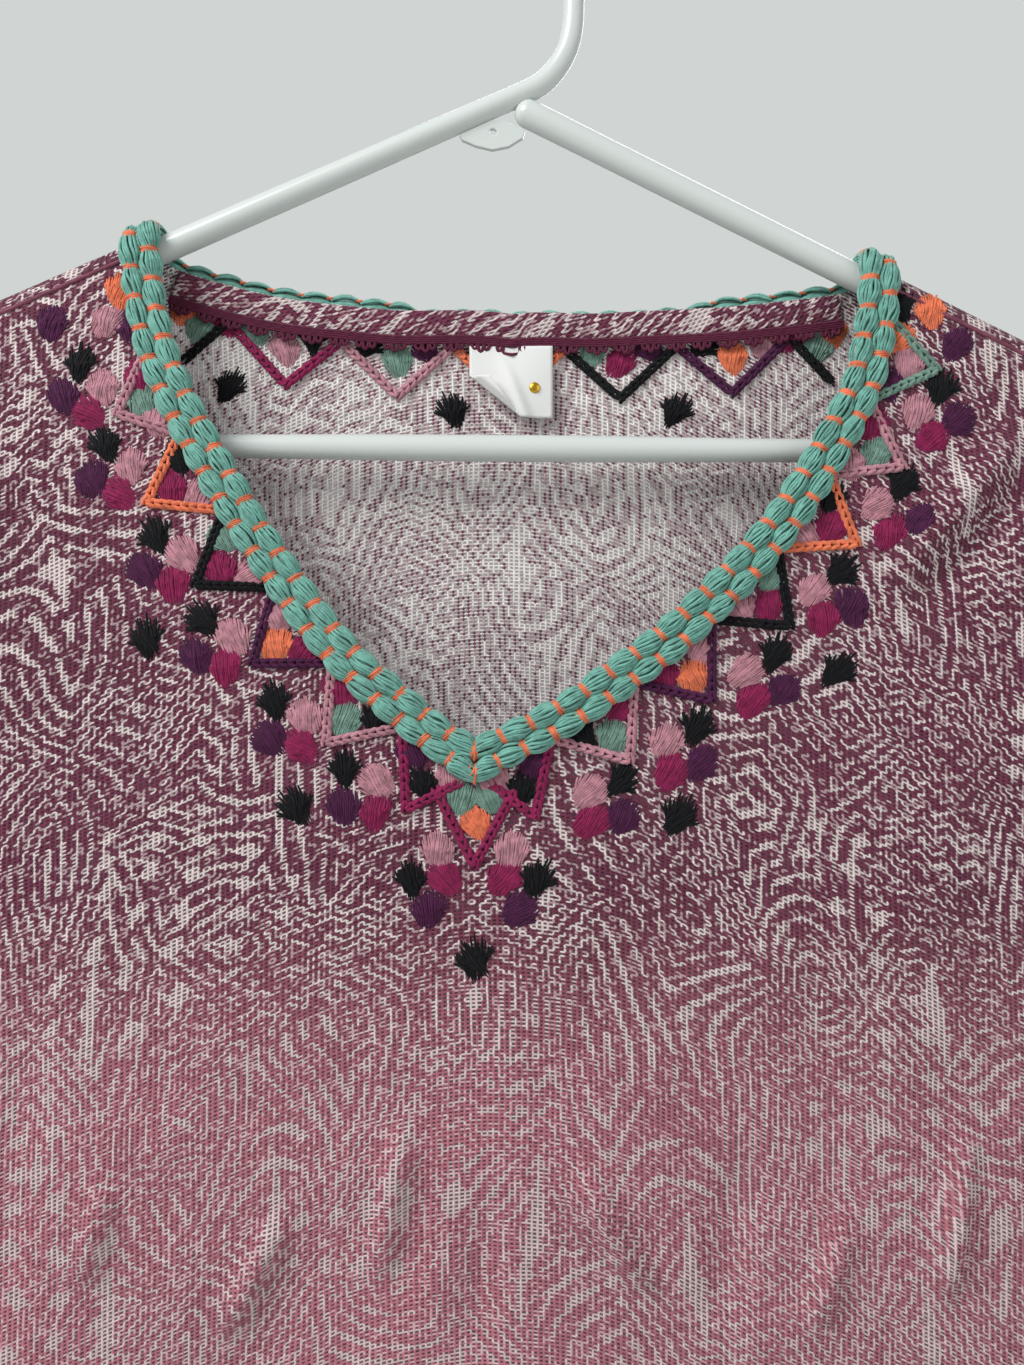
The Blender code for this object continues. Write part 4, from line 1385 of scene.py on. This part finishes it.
class GAUZETOP_OT_trim(bpy.types.Operator):
    """Two rows of puffed teal bundles round the neck, nipped in by orange wraps"""

    bl_idname = "gauze_top.trim"
    bl_label = "Neck Trim"

    def execute(self, context):
        trim = settings().trim
        rng = random.Random(11)
        path = NeckPath()
        count = round(path.length / trim.bundle)
        pitch = path.length / count
        rows = {
            "inner": (0.0, [pitch * k for k in range(count + 1)]),
            "outer": (trim.spacing, [0.0, *[pitch * (k + 0.5) for k in range(count)], path.length]),
        }
        wraps = []
        for row_name, (away, stops) in rows.items():
            strands = []
            for start, end in zip(stops, stops[1:]):
                strands += self.bundle(path, start, end, away, rng)
            for stop in stops[:-1]:
                wraps += self.wrap(path, stop, away, rng)
            piece = add_strokes(f"trim_{row_name}_bundles", strands, teal_thread())
            settle(piece, "trim_thread", f"neck_trim_{row_name}")
        settle(add_strokes("trim_wraps", wraps, thread("orange")), "trim_thread")
        return {"FINISHED"}

    def section(self, path, place, away, puff):
        """Centre, sideways and upward half axes of the bundle's section."""
        here, normal, into = path.at(place)
        if normal.y > 0:
            away += BACK_SAG * smooth_step((BACK_SAG_REACH - abs(here.x - BACK_SAG_X)) / BACK_SAG_BLEND)
        half = settings().trim.half_width
        side = into * half * (0.52 + 0.48 * puff)
        rise = normal * half * (0.44 + 0.46 * puff)
        return here + normal * 0.0020 + into * away, side, rise

    def bundle(self, path, start, end, away, rng):
        """Loose threads round a core, puffed in the middle and turned a little about each other."""
        trim = settings().trim
        steps = 8
        size = rng.uniform(0.93, 1.07)
        lean = rng.uniform(0.25, 0.75) * (1 if start < path.length / 2 else -1)
        rows = []
        for k in range(steps + 1):
            puff = math.sin(math.pi * min(max(k / steps, 0.015), 0.985)) ** 0.7
            rows.append((*self.section(path, start + (end - start) * k / steps, away, puff * size), puff))
        strands = [[(centre, rise.length * 0.80) for centre, _, rise, _ in rows]]
        for j in range(trim.threads):
            angle = math.radians(125) * (2 * j / (trim.threads - 1) - 1) + rng.uniform(-0.13, 0.13)
            twist = lean + rng.uniform(-0.25, 0.25)
            depth = rng.uniform(0.90, 1.04)
            sway, phase = rng.uniform(0.0, 0.10), rng.uniform(0, 6)
            strand = []
            for k, (centre, side, rise, puff) in enumerate(rows):
                turned = angle + twist * (k / steps - 0.5) + sway * math.sin(phase + k)
                reach = depth + rng.uniform(-0.02, 0.02)
                point = centre + (side * math.sin(turned) + rise * math.cos(turned)) * reach
                strand.append((point, 0.00036 + 0.00010 * puff))
            strands.append(strand)
        return strands

    def wrap(self, path, place, away, rng):
        """A few turns of thread drawn tight between two bundles."""
        strokes = []
        lean = 0.0005 * (1 if place < path.length / 2 else -1)
        for turn in (-1.5, -0.5, 0.5, 1.5):
            slant = lean + rng.uniform(-0.00025, 0.00025)
            size = 1.30 + rng.uniform(-0.05, 0.05) - 0.03 * abs(turn)
            stroke = []
            for k in range(13):
                angle = math.radians(-132 + 264 * k / 12)
                along = place + turn * 0.00055 + slant * math.sin(angle)
                centre, side, rise = self.section(path, along, away, 0.10)
                stroke.append((centre + (side * math.sin(angle) + rise * math.cos(angle)) * size, 0.00040))
            strokes.append(stroke)
        return strokes


def inside_place(share, below, lift):
    """A point inside the back neck: share -1 to 1 round the neck, below its edge, off the cloth."""
    side = -1 if share < 0 else 1
    patch = PATCHES[BACK, side]
    here, normal, into = patch.neck_frame(abs(share) * NECK_SHARE)
    if abs(share) < 1e-6:
        into = Vector((0, 0, -1))
    return here - normal * lift + into * below


class GAUZETOP_OT_neck_finish(bpy.types.Operator):
    """The facing inside the back neck, its scalloped tape and the plain label"""

    bl_idname = "gauze_top.neck_finish"
    bl_label = "Back Neck"

    def execute(self, context):
        self.facing()
        self.picot()
        self.label()
        return {"FINISHED"}

    def facing(self):
        columns, rows = 160, 8
        wave = 0.00035

        def place(column, row):
            share = FACING_END * (2 * column / columns - 1)
            below = FACING_START + FACING_WIDTH * row / rows
            arch = math.sin(math.pi * row / rows)
            lift = 0.0014 + wave * math.sin(column * 0.9) * arch + 0.0003 * arch
            weave = (share * 0.105 + 0.0007 * row, 0.31 + below + share * 0.03)
            return inside_place(share, below, lift), weave

        bm = bmesh.new()
        weave_grid(bm, columns, rows, place)
        bmesh.ops.recalc_face_normals(bm, faces=bm.faces)
        made = finish("facing_gauze", gauze_finish, "facing_gauze", hole_shade=1.0)
        sides, nodes = (made, made), ["back_neck_facing"]
        lay_sheet(
            "neck_facing", bm, sides, "facing_cloth", FACING_FLAT, nodes, 0.0006
        )

    def picot(self):
        """A tape of thin strands side by side, with three small loops to each scallop."""
        top = FACING_START + FACING_WIDTH - 0.0004
        strokes = []
        points = 420
        for strand in range(4):
            below = top + 0.0004 + strand * 0.00062
            stroke = []
            for k in range(points + 1):
                share = FACING_END * (2 * k / points - 1)
                wobble = 0.00008 * math.sin(k * 0.9 + strand * 1.7)
                stroke.append((inside_place(share, below + wobble, PICOT_LIFT), 0.00050))
            strokes.append(stroke)
        scallops = 25
        for k in range(scallops):
            for lobe in (-1, 0, 1):
                middle = (2 * (k + 0.5 + lobe * 0.235) / scallops - 1) * FACING_END
                stroke = []
                for step in range(7):
                    angle = math.pi * step / 6
                    share = middle + 0.0075 * math.cos(angle)
                    reach = (0.0015 if lobe else 0.0022) * math.sin(angle)
                    stroke.append((inside_place(share, top + PICOT_WIDTH + reach, PICOT_LIFT), 0.00062))
                strokes.append(stroke)
        made = finish("picot_thread", thread_finish, "picot_thread", srgb(92, 34, 58), variation=0.12)
        settle(add_strokes("picot_edging", strokes, made), "picot_tape", "picot_tape")

    def label(self):
        """A small blank woven label whose lower corner is turned up and creased."""
        width, height = LABEL_SIZE
        base_y = PATCHES[BACK, 1].neck_frame(0.02)[0].y - 0.0019
        columns, rows = 28, 24

        def place(column, row):
            across, down = column / columns, row / rows
            x = LABEL_CENTRE_X + (across - 0.5) * width
            z = LABEL_TOP_Z - down * height
            corner = max(0.0, down - 0.42 - across * 0.95)
            lift = 0.0004 * math.sin(across * 5.0 + down * 3.0) - 0.0016 * down * (1 - across)
            z += corner * height * 0.98
            x += corner * width * 0.42
            ridge = math.exp(-(((across - 0.33 - 0.35 * down) / 0.07) ** 2)) * smooth_step(down * 1.6)
            y = base_y + lift - 0.0014 * ridge - 0.0022 * smooth_step(corner * 3)
            return Vector((x, y, z)), (across, down)

        bm = bmesh.new()
        weave_grid(bm, columns, rows, place)
        bmesh.ops.recalc_face_normals(bm, faces=bm.faces)
        made = slot_finish("label_weave")
        sides, nodes = (made, made), ["neck_label"]
        lay_sheet(
            "blank_label", bm, sides, "label_weave", LABEL_SIZE, nodes, thickness=0.0003
        )
        bm = bmesh.new()
        bmesh.ops.create_uvsphere(bm, u_segments=24, v_segments=12, radius=0.0017)
        bmesh.ops.scale(bm, verts=bm.verts, vec=(1, 0.36, 1))
        dome_place = (LABEL_CENTRE_X + 0.0072, base_y - 0.0006, LABEL_TOP_Z - 0.0128)
        bmesh.ops.translate(bm, verts=bm.verts, vec=dome_place)
        settle(add_mesh("label_dome", bm, finish("gold_dome", gold_finish)), "label_weave")


class GAUZETOP_OT_seams(bpy.types.Operator):
    """Shoulder, armhole, side and sleeve seams, and the turned hem and cuffs with their stitches"""

    bl_idname = "gauze_top.seams"
    bl_label = "Seams and Hems"

    def execute(self, context):
        welts = []
        stitches = []
        for side in (-1, 1):
            run = -(QUARTER_WRAP + 0.0002)
            xs = np.linspace(NECK_CREST_X[side] + side * 0.004, side * SHOULDER_TIP_X, 40)
            welts.append([(wrap_point(x, run) + Vector((0, -0.0002, 0)), 0.0007) for x in xs])
            for facing in (FRONT, BACK):
                shares = np.linspace(0, ARMHOLE_SHARE, 40)
                welts.append([(PATCHES[facing, side].place(1, t)[0], SEAM_WELT) for t in shares])
            shares = np.linspace(ARMHOLE_SHARE, 1, 60)
            edge = [PATCHES[FRONT, side].place(1, t)[0] for t in shares]
            welts.append([(Vector((point.x, 0, point.z)), SEAM_WELT) for point in edge])
            last = len(SLEEVE_SECTIONS) - 1
            under = [sleeve_point(position, math.pi, side) for position in np.linspace(0, last, 50)]
            welts.append([(point, SEAM_WELT) for point in under])
            for angle in np.linspace(0, 2 * math.pi, CUFF_STITCHES, endpoint=False):
                turns = [angle + step * 0.055 for step in (0.0, 0.5, 1.0)]
                points = [sleeve_point(last - CUFF_TURN_SECTIONS, turn, side) for turn in turns]
                stitches.append(self.dash(points, side))
        for facing in (FRONT, BACK):
            for k in range(1 - HEM_STITCHES, HEM_STITCHES):
                side = -1 if k < 0 else 1
                stitch = []
                for step, lift in ((0.0, 0.0003), (0.005, 0.0006), (0.010, 0.0003)):
                    share = abs(k) / HEM_STITCHES + step
                    point = PATCHES[facing, side].place(share, HEM_STITCH_SHARE)[0]
                    stitch.append((point + Vector((0, facing * lift, 0)), SEAM_THREAD))
                stitches.append(stitch)
        made = finish("seam_thread", thread_finish, "seam_thread", srgb(120, 66, 84))
        settle(add_strokes("seam_welts", welts, made, 1), "gauze_cloth")
        settle(add_strokes("hem_stitches", stitches, made), "gauze_cloth")
        self.bands()
        return {"FINISHED"}

    def dash(self, points, side):
        """A stitch of the cuff through three points, lifted off the cloth."""
        middle = Vector((side * CUFF_MIDDLE_X, 0, points[0].z))
        lifts = (0.0003, 0.0006, 0.0003)
        return [(p + (p - middle).normalized() * lift, SEAM_THREAD) for p, lift in zip(points, lifts)]

    def bands(self):
        """The turned-up hem and cuffs, a second layer of the same cloth."""
        sides = (wrong_side(), printed_side())
        columns, rows = 150, 4
        for facing, name in ((FRONT, "front"), (BACK, "back")):

            def place(column, row, facing=facing):
                share = 2 * column / columns - 1
                patch = PATCHES[facing, -1 if share < 0 else 1]
                t = HEM_TURN_SHARE + (1.0 - HEM_TURN_SHARE) * row / rows
                point, weave = patch.place(min(abs(share), 0.985), t)
                return point - Vector((0, facing * 0.0008, 0)), weave

            bm = bmesh.new()
            weave_grid(bm, columns, rows, place)
            face_outward(bm)
            lay_sheet(f"{name}_hem_turn", bm, sides, "gauze_cloth", HEM_TURN)
        columns, last = 72, len(SLEEVE_SECTIONS) - 1
        for side, name in ((-1, "left"), (1, "right")):

            def around(column, row, side=side):
                position = last - CUFF_TURN_SECTIONS * row / rows
                point = sleeve_point(position, 2 * math.pi * column / columns, side)
                inward = Vector((side * CUFF_MIDDLE_X, 0, point.z)) - point
                return point + inward.normalized() * 0.0008, (0.0028 * column, 0.6 - 0.011 * row / rows)

            bm = bmesh.new()
            weave_grid(bm, columns, rows, around)
            bmesh.ops.remove_doubles(bm, verts=bm.verts, dist=1e-6)
            bmesh.ops.recalc_face_normals(bm, faces=bm.faces)
            lay_sheet(f"cuff_turn_{name}", bm, sides, "gauze_cloth", CUFF_TURN)


def left_line(x):
    return (x, APEX_Z + SLOPE_LEFT * x)


def right_line(x):
    return (x, APEX_Z_RIGHT - SLOPE_RIGHT * x)


def arc(centre, radius, start, end, steps):
    """x, z points round a centre, angles in degrees from +X towards +Z."""
    angles = np.radians(np.linspace(start, end, steps + 1))
    return [(centre[0] + radius * math.cos(a), centre[1] + radius * math.sin(a)) for a in angles]


def bend_centre(side):
    """Centre of the bend that joins an arm to the bar."""
    slope = SLOPE_LEFT if side < 0 else SLOPE_RIGHT
    radius = BEND_LEFT if side < 0 else BEND_RIGHT
    bar_z = BAR_Z_LEFT if side < 0 else BAR_Z_RIGHT
    apex = APEX_Z if side < 0 else APEX_Z_RIGHT
    angle = math.atan(slope)
    centre_z = bar_z + radius
    touch_z = centre_z + radius * math.cos(angle)
    touch_x = side * (apex - touch_z) / slope
    return (touch_x - side * radius * math.sin(angle), centre_z), radius, math.degrees(angle)


def rounded_end(point, direction, radius, steps=6):
    """Rings of a half ball that closes a tube at this point, from its tip inwards."""
    rows = []
    for k in range(steps):
        angle = math.pi / 2 * k / steps
        reach = radius * math.cos(angle)
        rows.append((point + direction * reach, max(radius * math.sin(angle), 0.00006)))
    return rows


class GAUZETOP_OT_hanger(bpy.types.Operator):
    """The tubular plastic hanger in one piece, with the small web under its apex"""

    bl_idname = "gauze_top.hanger"
    bl_label = "Hanger"

    def execute(self, context):
        neck = smooth_line(
            (
                (HOOK_RADIUS, HOOK_CENTRE_Z),
                (0.0226, -0.0400),
                (0.0231, -0.0590),
                (0.0221, -0.0700),
                (0.0187, -0.0778),
                (0.0129, -0.0839),
                left_line(JOINT_X),
            ),
            steps=8,
        ).points
        bow = arc((0, HOOK_CENTRE_Z), HOOK_RADIUS, HOOK_TIP_ANGLE, 0, 40)[:-1]
        rows = [(p, HOOK_TUBE) for p in bow]
        for k, point in enumerate(neck):
            rows.append((tuple(point), HOOK_TUBE + (ROOT_TUBE - HOOK_TUBE) * smooth_step(k / len(neck))))
        rows += [(left_line(x), r) for x, r in ((-0.02, 0.0036), (-0.06, 0.0038), (-0.12, ARM_TUBE))]
        left_centre, left_radius, left_angle = bend_centre(-1)
        right_centre, right_radius, right_angle = bend_centre(1)
        rows += [(p, ARM_TUBE) for p in arc(left_centre, left_radius, 90 + left_angle, 270, 18)]
        slope = (BAR_Z_RIGHT - BAR_Z_LEFT) / (right_centre[0] - left_centre[0])
        for x in np.linspace(-0.17, 0.17, 19):
            narrow = smooth_step(1 - abs(abs(x) - NARROW_BAR_X) / 0.07)
            rows.append(((x, BAR_Z_LEFT + slope * (x - left_centre[0])), ARM_TUBE + (BAR_END_TUBE - ARM_TUBE) * narrow))
        rows += [(p, ARM_TUBE) for p in arc(right_centre, right_radius, -90, 90 - right_angle, 18)]
        rows += [(right_line(x), r) for x, r in ((0.12, ARM_TUBE), (0.06, 0.0041), (0.015, 0.0042), (0.0095, 0.0042))]
        rows = [(Vector((x, 0, z)), radius) for (x, z), radius in rows]
        tip = (rows[0][0] - rows[1][0]).normalized()
        top = (rows[-1][0] - rows[-2][0]).normalized()
        whole = rounded_end(rows[0][0], tip, HOOK_TUBE) + rows + rounded_end(rows[-1][0], top, 0.0042)[::-1]
        hanger = add_strokes("tube_hanger", [whole], slot_finish("hanger_plastic"), 10)
        settle(hanger, "hanger_plastic", "hanger_hook", "hanger_left_arm", "hanger_right_arm", "hanger_bar")
        self.web()
        return {"FINISHED"}

    def web(self):
        outline = (
            (-0.0112, -0.0995),
            (-0.0010, -0.0950),
            (0.0020, -0.0950),
            (0.0085, -0.0978),
            (0.0078, -0.1002),
            (0.0036, -0.1028),
            (-0.0014, -0.1038),
            (-0.0064, -0.1026),
            (-0.0105, -0.1008),
        )
        line = bpy.data.curves.new("hanger_web", "CURVE")
        line.dimensions = "2D"
        line.fill_mode = "BOTH"
        line.extrude = WEB_THICKNESS / 2 - 0.0003
        line.bevel_depth = 0.0003
        line.bevel_resolution = 3
        line.offset = -0.0003
        for points in (outline, arc((-0.0012, -0.0985), WEB_HOLE, 0, 345, 23)):
            spline = line.splines.new("POLY")
            spline.points.add(len(points) - 1)
            spline.use_cyclic_u = True
            for slot, (x, z) in zip(spline.points, points):
                slot.co = (x, z, 0.0, 1.0)
        holder = bpy.data.objects.new("hanger_web_plate", line)
        bpy.context.scene.collection.objects.link(holder)
        data = bpy.data.meshes.new_from_object(holder.evaluated_get(bpy.context.evaluated_depsgraph_get()))
        bpy.data.objects.remove(holder)
        bm = bmesh.new()
        bm.from_mesh(data)
        bmesh.ops.remove_doubles(bm, verts=bm.verts, dist=1e-6)
        for vert in bm.verts:
            vert.co = Vector((vert.co.x, -vert.co.z, vert.co.y))
        bmesh.ops.recalc_face_normals(bm, faces=bm.faces)
        piece = add_mesh("hanger_web_plate", bm, slot_finish("hanger_plastic"))
        piece.data.shade_flat()
        settle(piece, "hanger_plastic", "hanger_web")


class GAUZETOP_OT_stage(bpy.types.Operator):
    """Pale floor, soft lights and the camera of the photograph"""

    bl_idname = "gauze_top.stage"
    bl_label = "Stage"

    def execute(self, context):
        stage = settings().stage
        bm = bmesh.new()
        bmesh.ops.create_grid(bm, x_segments=8, y_segments=8, size=3.0)
        bmesh.ops.translate(bm, verts=bm.verts, vec=(0, 0, HEM_Z - 0.08))
        add_mesh("floor", bm, floor_finish())
        # The surround is seen at full strength and lights the cloth less, so that the lamps give it form
        world = bpy.data.worlds.new("surround")
        world.use_nodes = True
        tree = world.node_tree
        seen = tree.nodes["Background"]
        seen.inputs["Color"].default_value = (*stage.surround, 1.0)
        lighting = tree.nodes.new("ShaderNodeBackground")
        lighting.inputs["Color"].default_value = (*stage.surround, 1.0)
        lighting.inputs["Strength"].default_value = stage.ambient
        mixed = tree.nodes.new("ShaderNodeMixShader")
        tree.links.new(tree.nodes.new("ShaderNodeLightPath").outputs["Is Camera Ray"], mixed.inputs[0])
        tree.links.new(lighting.outputs[0], mixed.inputs[1])
        tree.links.new(seen.outputs[0], mixed.inputs[2])
        tree.links.new(mixed.outputs[0], tree.nodes["World Output"].inputs["Surface"])
        context.scene.world = world
        context.scene.view_settings.view_transform = "Standard"
        lamps = (
            ("key", (-0.90, -0.80, 0.65), 0.8, 22.0),
            ("fill", (0.95, -0.80, -0.10), 1.2, 4.0),
            ("rear", (0.30, 0.95, 0.45), 1.0, 9.0),
        )
        for name, place, size, power in lamps:
            lamp = bpy.data.lights.new(name, "AREA")
            lamp.shape = "SQUARE"
            lamp.size = size
            lamp.energy = power
            holder = bpy.data.objects.new(name, lamp)
            holder.location = place
            holder.rotation_euler = (Vector((0, 0, -0.28)) - Vector(place)).to_track_quat("-Z", "Y").to_euler()
            context.scene.collection.objects.link(holder)
        lens = bpy.data.cameras.new("camera")
        lens.sensor_width = 36.0
        lens.lens = 36.0 * stage.camera_distance / 0.4095
        lens.clip_start = 0.01
        camera = bpy.data.objects.new("camera", lens)
        camera.location = (0.0045, -stage.camera_distance, -0.26325)
        camera.rotation_euler = (math.pi / 2, 0, 0)
        context.scene.collection.objects.link(camera)
        context.scene.camera = camera
        return {"FINISHED"}


class GAUZETOP_PT_panel(bpy.types.Panel):
    bl_idname = "GAUZETOP_PT_panel"
    bl_label = "Gauze Top"
    bl_space_type = "VIEW_3D"
    bl_region_type = "UI"
    bl_category = "Gauze Top"

    def draw(self, context):
        layout = self.layout
        groups = context.scene.gauze_top
        for group in (groups.cloth, groups.trim, groups.stitch, groups.hanger, groups.stage):
            box = layout.box()
            for name in group.__annotations__:
                box.prop(group, name)
        for operator in OPERATORS:
            layout.operator(operator.bl_idname)


OPERATORS = (
    GAUZETOP_OT_stage,
    GAUZETOP_OT_hanger,
    GAUZETOP_OT_panels,
    GAUZETOP_OT_sleeves,
    GAUZETOP_OT_neck_finish,
    GAUZETOP_OT_seams,
    GAUZETOP_OT_trim,
    GAUZETOP_OT_embroidery,
)
CLASSES = (
    TopClothSettings,
    TopTrimSettings,
    TopStitchSettings,
    TopHangerSettings,
    TopStageSettings,
    TopSettings,
    *OPERATORS,
    GAUZETOP_PT_panel,
)


def register():
    for kind in CLASSES:
        bpy.utils.register_class(kind)
    bpy.types.Scene.gauze_top = PointerProperty(type=TopSettings)


def unregister():
    del bpy.types.Scene.gauze_top
    for kind in reversed(CLASSES):
        bpy.utils.unregister_class(kind)


def main():
    register()
    bpy.ops.gauze_top.stage()
    bpy.ops.gauze_top.hanger()
    bpy.ops.gauze_top.panels()
    bpy.ops.gauze_top.sleeves()
    bpy.ops.gauze_top.neck_finish()
    bpy.ops.gauze_top.seams()
    bpy.ops.gauze_top.trim()
    bpy.ops.gauze_top.embroidery()
    bpy.context.view_layer.update()


if __name__ == "__main__":
    main()
